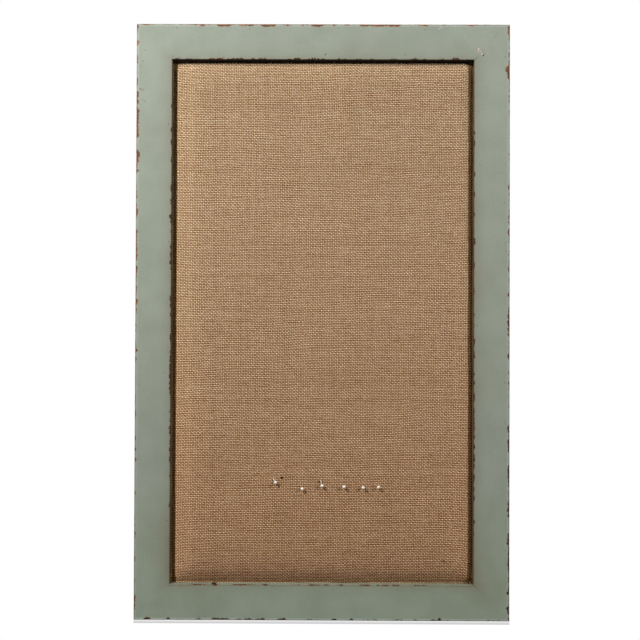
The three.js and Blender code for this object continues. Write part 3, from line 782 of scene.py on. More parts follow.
@dataclass(frozen=True)
class LinenWeave(Finish):
    """Coarse natural plain weave with uneven threads and slubs; painted red-brown shade in the gaps, painted
    highlights on the beads.
    """

    threads_across: float = 218.0
    threads_along: float = 358.0
    # Ramp colours from the painted shade of gaps and hollows up to the painted highlight on the beads.
    gap: Colour = srgb(82, 29, 10)
    hollow_shade: Colour = srgb(146, 112, 69)
    yarn: Colour = srgb(178, 152, 119)
    bead_highlight: Colour = srgb(219, 212, 193)
    left_band_shade: Colour = (0.8, 0.66, 0.4, 1.0)  # painted shade in the band beside the left stile, then painted light in the band beside the right stile and painted shade at its rim
    right_band_light: Colour = (1.3, 1.22, 1.04, 1.0)
    right_rim_shade: Colour = (0.6, 0.46, 0.3, 1.0)
    corners: Colour = (0.4, 0.33, 0.24, 1.0)  # painted shade in the two lower corners
    tints: tuple[Colour, ...] = (  # from top to bottom
        (1.07, 1.03, 1.0, 1.0),
        (1.14, 1.045, 0.98, 1.0),
        (1.18, 0.98, 0.86, 1.0),
    )
    # Where each change starts and is complete: heights for the tints, the painted shade under the top lip and
    # in the lower corners.
    bottom_to_top: Span = (-380 * MM, 360 * MM)
    shaded_top: Span = (347.5 * MM, 353.5 * MM)
    shaded_low_corners: Span = (-351.5 * MM, -347 * MM)
    # The same across the board.
    painted_light_left: Span = (-188 * MM, -145 * MM)
    painted_light_right: Span = (165 * MM, 192 * MM)
    shaded_left_band: Span = (-200.5 * MM, -198 * MM)
    lit_right_band: Span = (198.5 * MM, 200.5 * MM)
    shaded_right_rim: Span = (203.5 * MM, 204.5 * MM)
    shaded_right_corner: Span = (198 * MM, 200.5 * MM)

    def paint(self, graph: Graph, effects: Effects) -> dict[str, Any]:
        """Threads counted along the cloth's own flat map."""
        flat = Signal(graph, graph.node("UVMap", uv_map="flat_cloth").outputs[0])
        u, v, _ = graph.parts(flat)
        threads = graph.vector(u * self.threads_across, v * self.threads_along)
        weave = graph.group(effects.weave, Threads=threads, Width=0.8, Unevenness=0.3, Wander=1.3)
        mottle = graph.group(effects.mottle, Place=graph.place(), Patch_Scale=14.0, Grain_Scale=160.0)

        tone = (weave["Tone"] - 0.5) * 0.19 + (weave["Fibre"] - 0.5) * 0.6 + (weave["Crossing"] - 0.5) * 0.28
        light = 0.2 + graph.between(tone, -0.5, 0.5) * 0.3
        # Painted shade: the warp, lit from the sides, is darker than the weft.
        light = light - (light - 0.14) * weave["Warp"] * 0.4
        # Painted shade in the hollows and in the gaps between threads.
        hollow_shade = 1.0 - graph.between(weave["Height"], 0.4, 1.1)
        light = light * (1.0 - hollow_shade * 0.95) * (1.0 - weave["Open"] * 0.95)
        # Painted relief shading: one diagonal lighter as under light from the upper left, thread middles
        # lighter, darker between them.
        light = light + weave["Twist"] * 0.064 + weave["Rows"] * 0.115 + weave["Columns"] * 0.056
        x, _, height = graph.parts(graph.place())
        low = 1.0 - graph.between(height, *self.bottom_to_top)
        # The painted shade between threads deepens towards the bottom.
        light = 0.31 + (light - 0.31) * (1.0 + low * 0.14)
        stops = {0.0: self.gap, 0.22: self.hollow_shade, 0.43: self.yarn, 1.0: self.bead_highlight}
        colour = graph.ramp((light - 0.02) / 0.72, stops)
        # Painted light on the cloth near the left and right lips.
        painted_edge_light = (1.0 - graph.between(x, *self.painted_light_left)) * 0.12 + graph.between(x, *self.painted_light_right) * 0.08
        # Painted shade under the top lip.
        top_shade = graph.between(height, *self.shaded_top) * 0.52
        shade = 1.0 + mottle["Cloud"] * 0.03 + painted_edge_light - top_shade
        colour = graph.blend(1.0, colour, graph.grey(shade), "MULTIPLY")
        tint = graph.ramp(low, dict(zip((0.0, 0.5, 1.0), self.tints)))
        colour = graph.blend(1.0, colour, tint, "MULTIPLY")
        # Painted shade and light in the dark bands beside the stiles and painted shade in the lower corners.
        left_shade_mask = 1.0 - graph.between(x, *self.shaded_left_band)
        colour = graph.blend(left_shade_mask, colour, self.left_band_shade, "MULTIPLY")
        colour = graph.blend(graph.between(x, *self.lit_right_band), colour, self.right_band_light, "MULTIPLY")
        colour = graph.blend(graph.between(x, *self.shaded_right_rim), colour, self.right_rim_shade, "MULTIPLY")
        aside = graph.between(x, *self.shaded_right_corner) + left_shade_mask
        corner_shade = aside * (1.0 - graph.between(height, *self.shaded_low_corners))
        colour = graph.blend(corner_shade, colour, self.corners, "MULTIPLY")
        colour = self.marked(graph, effects, colour, CLOTH_MARKS)
        relief = weave["Height"] + (weave["Fibre"] - 0.5) * 0.12
        return {
            "Base Color": colour,
            "Roughness": 0.92,
            "Specular IOR Level": 0.06,
            "Normal": graph.bump(relief, 0.75 * MM),
        }


@dataclass(frozen=True)
class PlainFinish(Finish):
    """A finish of one colour with clouds, fine grain and a little relief."""

    colour: Colour = srgb(128, 128, 128)
    second: Colour = srgb(110, 110, 110)
    roughness: float = 0.5
    metallic: float = 0.0
    patch_scale: float = 40.0
    grain_scale: float = 900.0
    relief: float = 0.03 * MM
    gloss: float = 0.5

    def paint(self, graph: Graph, effects: Effects) -> dict[str, Any]:
        """Two tones by cloud and grain, with the grain as relief."""
        mottle = graph.group(
            effects.mottle, Place=graph.place(), Patch_Scale=self.patch_scale, Grain_Scale=self.grain_scale
        )
        mix = graph.between(mottle["Cloud"] * 0.6 + mottle["Grain"] * 0.7, -0.9, 0.9)
        return {
            "Base Color": graph.blend(mix, self.second, self.colour),
            "Roughness": self.roughness + mottle["Cloud"] * 0.06 + mottle["Grain"] * 0.04,
            "Metallic": self.metallic,
            "Specular IOR Level": self.gloss,
            "Normal": graph.bump(mottle["Grain"], self.relief),
        }


@dataclass(frozen=True)
class FibrousBoard(Finish):
    """Pressed fibres: matted streaks in all directions of the board's plane."""

    colour: Colour = srgb(110, 78, 52)
    second: Colour = srgb(84, 56, 36)
    fleck: Colour = srgb(146, 112, 80)
    roughness: float = 0.6
    scale: float = 240.0

    def paint(self, graph: Graph, effects: Effects) -> dict[str, Any]:
        """Two crossed sets of fibres and pale flecks."""
        x, y, z = graph.parts(graph.place())
        level = graph.group(effects.streaks, Place=graph.vector(x, z, y), Scale=self.scale, Stretch=5.0)
        upright = graph.group(effects.streaks, Place=graph.vector(z, x, y), Scale=self.scale, Stretch=5.0)
        mottle = graph.group(effects.mottle, Place=graph.place(), Patch_Scale=9.0, Grain_Scale=500.0)
        fibre = graph.math("MAXIMUM", level["Coarse"], upright["Coarse"])
        colour = graph.blend(graph.between(fibre, 0.42, 0.72), self.second, self.colour)
        flecks = graph.between(graph.math("MAXIMUM", level["Fine"], upright["Fine"]), 0.68, 0.78)
        colour = graph.blend(flecks * 0.5, colour, self.fleck)
        colour = graph.blend(1.0, colour, graph.grey(1.0 + mottle["Cloud"] * 0.07), "MULTIPLY")
        return {
            "Base Color": colour,
            "Roughness": self.roughness + (fibre - 0.5) * 0.2,
            "Specular IOR Level": 0.3,
            "Normal": graph.bump(fibre, 0.12 * MM),
        }


SAGE_PAINT = SagePaint("sage_paint", "painted_wood")
LINEN = LinenWeave("natural_weave", "linen")
WADDING = PlainFinish(
    "wadding", "wadding", srgb(236, 232, 222), srgb(216, 211, 199),
    roughness=0.95, patch_scale=70.0, grain_scale=1200.0, relief=0.3 * MM, gloss=0.1,
)
FIBREBOARD = FibrousBoard(
    "soft_fibreboard", "fibreboard", srgb(186, 160, 124), srgb(160, 132, 98), srgb(208, 186, 152), 0.9
)
HARDBOARD = FibrousBoard("hardboard", "hardboard")
ZINC = PlainFinish(
    "zinc_plate", "zinc_steel", srgb(196, 197, 194), srgb(160, 162, 160),
    roughness=0.34, metallic=1.0, patch_scale=180.0, grain_scale=2600.0, relief=0.015 * MM,
)
NEEDLE_STEEL = PlainFinish(
    "polished_wire", "needle_steel", srgb(190, 183, 177), srgb(176, 169, 163),
    roughness=0.45, metallic=1.0, patch_scale=300.0, grain_scale=4000.0, relief=0.004 * MM,
)
WHITE_PLASTIC = PlainFinish(
    "white_ball", "white_plastic", srgb(246, 243, 236), srgb(236, 232, 223),
    roughness=0.2, patch_scale=260.0, grain_scale=2200.0, relief=0.006 * MM,
)
RUBBER = PlainFinish(
    "black_rubber", "rubber", srgb(46, 45, 44), srgb(32, 31, 31),
    roughness=0.82, patch_scale=160.0, grain_scale=2400.0, relief=0.03 * MM, gloss=0.25,
)


def grid_faces(rows: int, columns: int, close_rows: bool = False, close_columns: bool = False) -> np.ndarray:
    """Quads of a grid of points, row after row.

    Args:
        rows: number of rows.
        columns: points per row.
        close_rows: joins the last row to the first.
        close_columns: joins the last point of a row to its first.

    Returns:
        Four point numbers per quad.
    """
    row = np.arange(rows if close_rows else rows - 1)[:, None]
    column = np.arange(columns if close_columns else columns - 1)[None, :]
    below = (row + 1) % rows
    right = (column + 1) % columns
    quads = [row * columns + column, row * columns + right, below * columns + right, below * columns + column]
    return np.stack([np.broadcast_to(q, (row.size, column.size)) for q in quads], -1).reshape(-1, 4)


@dataclass
class Skin:
    """Points and faces of a piece on its way into a mesh."""

    points: np.ndarray
    faces: list = field(default_factory=list)
    attributes: dict[str, np.ndarray] = field(default_factory=dict)

    def piece(self, name: str, finish: Finish, shop: "Workshop") -> bpy.types.Object:
        """Makes the object, smooth with crisp edges, and gives it its finish.

        Args:
            name: the piece's name.
            finish: its finish.
            shop: where materials come from.

        Returns:
            The new object.
        """
        mesh = bpy.data.meshes.new(name)
        faces = [face.tolist() for block in self.faces for face in np.atleast_2d(block)]
        mesh.from_pydata(self.points.reshape(-1, 3).tolist(), [], faces)
        for label, values in self.attributes.items():
            wide = values.ndim > 1 and values.shape[-1] == 3
            made = mesh.attributes.new(label, "FLOAT_VECTOR" if wide else "FLOAT", "POINT")
            made.data.foreach_set("vector" if wide else "value", values.astype(np.float32).ravel())
        mesh.validate()
        mesh.shade_smooth()
        mesh.set_sharp_from_angle(angle=SHARP_ANGLE)
        made = bpy.data.objects.new(name, mesh)
        bpy.context.scene.collection.objects.link(made)
        mesh.materials.append(shop.material(finish))
        return made


class Workshop:
    """Makes each finish's material once and dresses pieces with it."""

    def __init__(self) -> None:
        """Builds the shared effects."""
        self.effects = Effects()
        self.made: dict[str, bpy.types.Material] = {}

    def material(self, finish: Finish) -> bpy.types.Material:
        """The finish's material, made on first use."""
        if finish.name not in self.made:
            self.made[finish.name] = finish.material(self.effects)
        return self.made[finish.name]

    def dress_node(self, node: str, finish: Finish) -> None:
        """Gives a carried-over solid its finish.

        Args:
            node: the solid's name.
            finish: its finish.
        """
        solid = frame["nodes"][node]
        solid.data.materials.clear()
        solid.data.materials.append(self.material(finish))
        LOG.info("dressed %s in %s", node, finish.name)

    def seat(self, piece: bpy.types.Object, body: str, *nodes: str) -> bpy.types.Object:
        """Lets a piece ride on a body and stand for solids.

        Args:
            piece: the piece.
            body: the body that it moves with.
            nodes: the solids that it stands for.

        Returns:
            The piece.
        """
        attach(piece, body)
        if nodes:
            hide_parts(*nodes)
        LOG.info("%s rides on %s for %s", piece.name, body, ", ".join(nodes) or "itself")
        return piece


def smooth_noise(places: np.ndarray, step: float, rng: np.random.Generator) -> np.ndarray:
    """Random values at even steps with smooth curves between them.

    Args:
        places: where it is read, from 0 upwards, in metres.
        step: distance between random values.
        rng: source of the values.

    Returns:
        Values with mean 0 and spread about 1.
    """
    count = int(places.max() / step) + 3
    values = rng.normal(size=count)
    cell = np.floor(places / step).astype(int)
    share = places / step - cell
    ease = share * share * (3 - 2 * share)
    return values[cell] * (1 - ease) + values[cell + 1] * ease


@dataclass(frozen=True)
class LipShadeGlaze:
    """Painted shade on the lip's wall, edge and rubbed wood, and the glaze beside the lip, 0 to 1."""

    wall: float
    glaze: float
    arris_shade: float
    rubs: float


class Side(Enum):
    """The four sides: node, directions along and inward, end corners, and the lip's painted shade and glaze.
    """

    # The painted shade is deepest under the top lip and slight on the sill, which the light from above
    # reaches.
    TOP = (
        "top_rail", (1, 0, 0), (0, 0, -1), ("top_left", "top_right"),
        LipShadeGlaze(wall=0.9, glaze=0.7, arris_shade=0.8, rubs=0.85),
    )
    BOTTOM = (
        "bottom_rail", (1, 0, 0), (0, 0, 1), ("bottom_left", "bottom_right"),
        LipShadeGlaze(wall=0.1, glaze=0.5, arris_shade=0.0, rubs=0.55),
    )
    LEFT = (
        "left_stile", (0, 0, -1), (1, 0, 0), ("top_left", "bottom_left"),
        LipShadeGlaze(wall=0.75, glaze=0.75, arris_shade=0.75, rubs=0.95),
    )
    RIGHT = (
        "right_stile", (0, 0, -1), (-1, 0, 0), ("top_right", "bottom_right"),
        LipShadeGlaze(wall=0.75, glaze=0.75, arris_shade=0.5, rubs=0.95),
    )

    @property
    def node(self) -> str:
        """Name of the rail's solid."""
        return self.value[0]

    @property
    def along(self) -> np.ndarray:
        """Direction along the rail, from its left or upper end."""
        return np.array(self.value[1], float)

    @property
    def inward(self) -> np.ndarray:
        """Direction from the outer edge to the opening."""
        return np.array(self.value[2], float)

    @property
    def corners(self) -> tuple[str, str]:
        """Corners that the rail starts and ends at."""
        return self.value[3]

    @property
    def shade_glaze(self) -> LipShadeGlaze:
        """How much painted shade and glaze the lip has."""
        return self.value[4]


# Lines on the mitres: places from the outer (0) to the inner corner (1), and how pale (above 0) or dark.
HAIRLINES = {
    "top_left": ((0, 0.0), (1, 0.0)),
    "top_right": ((0, 0.0), (0.58, 0.0), (0.66, 0.3), (0.76, 0.0), (0.9, 0.0), (0.95, -0.8), (1, -0.9)),
    "bottom_left": ((0, 0.0), (0.4, 0.05), (0.6, 0.22), (0.9, 0.18), (1, 0.0)),
    "bottom_right": ((0, 0.0), (0.55, 0.0), (0.75, -0.22), (1, -0.5)),
}


@dataclass(frozen=True)
class Rub:
    """A stretch of edge that is rubbed through to the wood, in millimetres from the rail's start."""

    start: float
    end: float
    reach: float


def stretches(*places: tuple[float, float, float]) -> tuple[Rub, ...]:
    """Rubs from their start, end and reach."""
    return tuple(Rub(*place) for place in places)


def nicks(count: int, first: float, last: float, seed: int) -> tuple[Rub, ...]:
    """Small rubs strewn along an edge.

    Args:
        count: how many there are.
        first: where they begin, in millimetres from the rail's start.
        last: where they end.
        seed: of their places and sizes.

    Returns:
        The rubs, one in each of count equal stretches.
    """
    rng = np.random.default_rng(seed)
    room = (last - first) / count
    starts = first + room * (np.arange(count) + rng.uniform(0, 0.8, count))
    ends = starts + rng.uniform(3, 11, count)
    return stretches(*zip(starts, ends, rng.uniform(1.1, 2.1, count)))


# The larger rubs of the outer edges and of the lip, from each rail's left or upper end, and nicks.
OUTER_RUBS = {
    Side.TOP: stretches(
        (85, 95, 2.6), (110, 130, 3.0), (140, 160, 2.2), (170, 190, 3.2), (200, 212, 1.8), (237, 256, 2.6),
        (246, 250, 3.6), (305, 320, 2.2), (320, 350, 2.5), (350, 360, 3.2), (385, 398, 2.1),
    ) + nicks(15, 5, 465, seed=3),
    Side.BOTTOM: stretches(
        (15, 23, 3.2), (45, 50, 2.5), (107, 117, 2.8), (120, 130, 2.2), (150, 160, 2.4), (202, 207, 2.8),
        (293, 298, 2.5), (413, 417, 3.8),
    ) + nicks(12, 65, 450, seed=5),
    Side.LEFT: stretches(
        (0, 7, 2.4), (23, 29, 2.8), (93, 103, 2.4), (103, 116, 1.7), (116, 156, 2.8), (118, 123, 3.6),
        (173, 191, 3.0), (175, 184, 4.8), (199, 204, 2.6), (254, 262, 2.9), (296, 324, 1.7), (376, 384, 3.2),
        (445, 449, 3.4), (777, 798, 1.5),
    ) + nicks(16, 30, 460, seed=7) + nicks(9, 520, 812, seed=8),
    Side.RIGHT: stretches(
        (2, 15, 2.2), (58, 66, 5.5), (65, 75, 3.0), (385, 402, 1.6), (403, 425, 2.0), (547, 562, 1.8),
        (564, 583, 2.0), (609, 625, 1.8), (655, 671, 2.2), (693, 711, 2.2), (704, 708, 3.2), (716, 737, 2.0),
        (771, 775, 3.6), (791, 802, 2.2), (792, 796, 4.2),
    ) + nicks(3, 20, 95, seed=9) + nicks(24, 200, 812, seed=10),
}
LIP_RUBS = {
    Side.TOP: stretches(
        (109, 115, 2.0), (116, 118, 2.8), (125, 135, 1.7), (136, 145, 2.1), (157, 163, 2.1), (218, 225, 2.2),
        (235, 250, 1.8), (252, 258, 1.9), (275, 278, 2.4), (431, 441, 2.2),
    ) + nicks(16, 65, 460, seed=11),
    Side.BOTTOM: stretches(
        (79, 98, 1.3), (141, 151, 1.7), (238, 246, 1.7), (279, 284, 2.3), (312, 321, 2.1), (329, 333, 2.0),
        (381, 388, 1.8),
    ) + nicks(12, 60, 400, seed=13),
    Side.LEFT: stretches(
        (261, 268, 3.0), (269, 273, 2.3), (311, 321, 1.7), (322, 330, 2.0), (382, 388, 2.0), (453, 478, 1.9),
        (478, 486, 2.9), (488, 507, 1.8), (528, 531, 2.1), (549, 558, 1.9), (566, 589, 1.1), (590, 600, 1.9),
    ) + nicks(20, 95, 660, seed=15),
    Side.RIGHT: stretches(
        (159, 167, 1.5), (429, 439, 1.8), (476, 480, 2.1), (502, 515, 1.2), (524, 536, 1.4), (536, 557, 1.7),
        (572, 580, 2.0), (587, 597, 2.0), (614, 623, 2.1), (630, 636, 1.8),
    ) + nicks(19, 125, 722, seed=17),
}


@dataclass(frozen=True)
class Smudge:
    """A soft brown patch of glaze on the face, in millimetres from the board's middle."""

    across: float
    up: float
    radius: float
    strength: float


SMUDGES = (
    Smudge(-198, -336, 36, 0.46), Smudge(-214, -286, 32, 0.38), Smudge(205, -352, 38, 0.36),
    Smudge(222, -300, 30, 0.18), Smudge(-150, -366, 30, 0.18), Smudge(120, -372, 26, 0.14),
    Smudge(-222, 260, 30, 0.10), Smudge(214, 60, 40, 0.14), Smudge(212, -80, 44, 0.18),
    Smudge(-60, 374, 40, 0.08), Smudge(60, 372, 34, 0.10), Smudge(238, -372, 26, 0.25),
)


@dataclass
class PaintedFrame:
    """The four mitred rails: flat moulding with eased, dented edges and a rabbet behind the lip."""

    lip_thickness: float = LIP_THICKNESS
    rabbet_width: float = 9 * MM
    outer_round: float = 2.5 * MM
    lip_round: float = 0.6 * MM
    back_round: float = 1 * MM
    step: float = 1.5 * MM  # between sections along a rail
    faint_step: float = 9 * MM  # of the faint rubbing between the rubs
    rub_fade: float = 3 * MM  # over which a rub rises and falls at its ends
    dent_step: float = 5 * MM
    dent_share: float = 0.09  # depth of a dent over the reach of its rub
    outer_dent: float = 2.4 * MM  # distance from the corner at which a dent has faded
    lip_dent: float = 1.8 * MM
    # Strength of the painted highlight on the sill's eased edge; it also sets the dark line beside the sill's
    # lip.
    sill_highlight: float = 0.9
    apart: float = 2.0  # metres that keep the noise of the rails apart
    seed: int = 41

    def __post_init__(self) -> None:
        """Reads the frame's outer size and the moulding's depth from the solids."""
        low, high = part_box(Side.TOP.node)
        self.half_width = high.x
        self.half_height = high.z
        self.face_y = low.y
        self.back_y = high.y

    def section(self) -> np.ndarray:
        """Closed outline of the moulding.

        Straight runs of even points joined by quarter circles (a + r cos t, b + r sin t).

        Returns:
            Points (distance in from the outer edge, depth from the face), in metres.
        """
        width, depth = RAIL_WIDTH, self.back_y - self.face_y
        wall = width - self.rabbet_width

        def run(start: tuple, end: tuple, count: int) -> np.ndarray:
            """Even points from start up to, but without, end."""
            share = np.arange(count)[:, None] / count
            return np.array(start) * (1 - share) + np.array(end) * share

        def arc(centre: tuple, radius: float, begin: float, finish: float, count: int) -> np.ndarray:
            """Points on a circle from begin up to, but without, finish, in quarter turns."""
            turn = (begin + (finish - begin) * np.arange(count) / count) * math.pi / 2
            return np.array(centre) + radius * np.stack([np.cos(turn), np.sin(turn)], -1)

        outer, lip, back = self.outer_round, self.lip_round, self.back_round
        return np.concatenate([
            run((outer, 0), (outer * 3, 0), 5),
            run((outer * 3, 0), (width - lip * 4, 0), 14),
            run((width - lip * 4, 0), (width - lip, 0), 5),
            arc((width - lip, lip), lip, -1, 0, 6),
            run((width, lip), (width, self.lip_thickness), 6),
            run((width, self.lip_thickness), (wall, self.lip_thickness), 3),
            run((wall, self.lip_thickness), (wall, depth), 5),
            run((wall, depth), (back, depth), 8),
            arc((back, depth - back), back, 1, 2, 4),
            run((0, depth - back), (0, outer * 2), 8),
            run((0, outer * 2), (0, outer), 3),
            arc((outer, outer), outer, 2, 3, 7),
        ])

    def rub_reach(
        self, places: np.ndarray, rubs: tuple[Rub, ...], faint: float, rng: np.random.Generator
    ) -> np.ndarray:
        """How far rubbing reaches from an edge.

        Each stretch rises and falls at its ends; faint random rubbing lies between stretches.

        Args:
            places: metres from the rail's start.
            rubs: the rubbed stretches.
            faint: millimetres that the random rubbing mostly stays below.
            rng: source of the random rubbing.

        Returns:
            Reach in metres at each place.
        """
        at = places / MM
        reach = np.clip(faint * (0.4 + 0.5 * smooth_noise(places, self.faint_step, rng)), 0, None)
        for rub in rubs:
            inside = np.clip(np.minimum(at - rub.start, rub.end - at) / (self.rub_fade / MM) + 0.5, 0, 1)
            reach = np.maximum(reach, rub.reach * inside)
        return reach * MM

    def rail(self, side: Side, shop: Workshop) -> bpy.types.Object:
        """One rail: its section carried along it, drawn in at 45 degrees at both ends.

        A point of the section at distance d from the outer edge runs over t (L / 2 - d), t from -1 to 1.
        Dents push it in along the section's normal, deepest where rubbing reaches furthest.

        Args:
            side: which rail.
            shop: where its finish comes from.

        Returns:
            The rail.
        """
        rng = np.random.default_rng(self.seed + list(Side).index(side))
        upright = side in (Side.LEFT, Side.RIGHT)
        half_length = self.half_height if upright else self.half_width
        section = self.section()
        steps = int(2 * half_length / self.step)
        share = np.linspace(-1, 1, steps + 1)[:, None]

        across = np.broadcast_to(section[:, 0], (steps + 1, len(section)))
        depth = np.broadcast_to(section[:, 1], across.shape)
        run = share * (half_length - across)
        from_start = run + half_length

        outer_rng, lip_rng = (np.random.default_rng(rng.integers(1 << 30)) for _ in range(2))
        outer = self.rub_reach(from_start, OUTER_RUBS[side], 0.8, outer_rng)
        lip = self.rub_reach(from_start, LIP_RUBS[side], 0.3, lip_rng)
        rough = self.dent_share * (1 + 0.5 * smooth_noise(from_start, self.dent_step, rng))
        dent = rough * self.dented(outer, lip, across, depth)
        normal = self.normals(section)
        worn_across = across - dent * normal[:, 0]
        worn_depth = depth - dent * normal[:, 1]
        run = share * (half_length - worn_across)

        corner = -side.inward * (self.half_height if not upright else self.half_width)
        points = corner + run[..., None] * side.along + worn_across[..., None] * side.inward
        points[..., 1] = self.face_y + worn_depth
        skin = Skin(points, [self.rail_faces(side, steps + 1, len(section))])
        ends = np.arange(len(section))
        last = steps * len(section) + ends
        turned = self.turned(side)
        skin.faces.append([ends if turned else ends[::-1]])
        skin.faces.append([last[::-1] if turned else last])
        skin.attributes = {
            "rail_place": np.stack([from_start + self.apart * list(Side).index(side), across, depth], -1),
            "rub_outer": outer,
            "rub_lip": lip,
            "smudge": self.smudges(points),
            # Painted shade on the rubbed wood: set by side on the lip, by place on the outer edge.
            "rub_shade": np.where(across > RAIL_WIDTH / 2, side.shade_glaze.rubs, self.rub_shade_at(points)),
            "shade_and_joint_dark": np.full(across.shape, side.shade_glaze.wall),
            "arris_shade": np.full(across.shape, side.shade_glaze.arris_shade),
            "sill": np.full(across.shape, self.sill_highlight if side is Side.BOTTOM else 0.0),
            "glaze": np.full(across.shape, side.shade_glaze.glaze),
            "mitre": half_length - np.abs(run) - worn_across,
            "hair": self.hairlines(side, run, across),
        }
        return shop.seat(skin.piece(f"{side.node}_painted", SAGE_PAINT, shop), BOARD_BODY, side.node)

    def dented(self, outer: np.ndarray, lip: np.ndarray, across: np.ndarray, depth: np.ndarray) -> np.ndarray:
        """How far dents reach in: each edge's rubbing r, falling off as r e^(-(d / w)^2) with the distance d.

        Args:
            outer: reach of the rubbing on the outer edge.
            lip: reach of the rubbing on the lip.
            across: distance in from the outer edge.
            depth: depth from the face.

        Returns:
            The sum over both edges, in metres.
        """
        from_edge = across + depth
        from_lip = (RAIL_WIDTH - across) + depth
        at_edge = outer * np.exp(-((from_edge / self.outer_dent) ** 2))
        return at_edge + lip * np.exp(-((from_lip / self.lip_dent) ** 2))

    @staticmethod
    def normals(section: np.ndarray) -> np.ndarray:
        """Directions out of a section: the chord between each point's neighbours, turned by a quarter."""
        chord = np.roll(section, -1, 0) - np.roll(section, 1, 0)
        normal = np.stack([chord[:, 1], -chord[:, 0]], -1)
        return normal / np.linalg.norm(normal, axis=1, keepdims=True)

    @staticmethod
    def turned(side: Side) -> bool:
        """Whether along, inward and depth make a left-handed set, which turns the faces round."""
        return float(np.cross(side.along, side.inward) @ np.array([0, 1, 0])) < 0

    def rail_faces(self, side: Side, rows: int, columns: int) -> np.ndarray:
        """Quads of a rail, facing outwards."""
        faces = grid_faces(rows, columns, close_columns=True)
        return faces[:, ::-1] if self.turned(side) else faces

    @staticmethod
    def rub_shade_at(points: np.ndarray) -> np.ndarray:
        """Painted shade on the wood in the outer rubs: more of it to the right and to the bottom, away from
        the upper left lamp.
        """
        return np.clip(0.3 + 1.6 * points[..., 0] - 1.375 * points[..., 2], 0, 1)

    def smudges(self, points: np.ndarray) -> np.ndarray:
        """Strength of the brown patches at points, a sum of round bells."""
        total = np.zeros(points.shape[:-1])
        for smudge in SMUDGES:
            off = np.hypot(points[..., 0] / MM - smudge.across, points[..., 2] / MM - smudge.up)
            total += smudge.strength * np.exp(-((off / smudge.radius) ** 2))
        return total

    def hairlines(self, side: Side, run: np.ndarray, across: np.ndarray) -> np.ndarray:
        """How pale (above 0) or dark (below 0) the line on the nearer mitre is.

        Args:
            side: which rail.
            run: place along the rail from its middle.
            across: distance in from the outer edge.

        Returns:
            Strength from -1 to 1.
        """
        first, last = (np.interp(across / RAIL_WIDTH, *zip(*HAIRLINES[name])) for name in side.corners)
        return np.where(run < 0, first, last)

    def build(self, shop: Workshop) -> None:
        """Makes the four rails."""
        for side in Side:
            self.rail(side, shop)


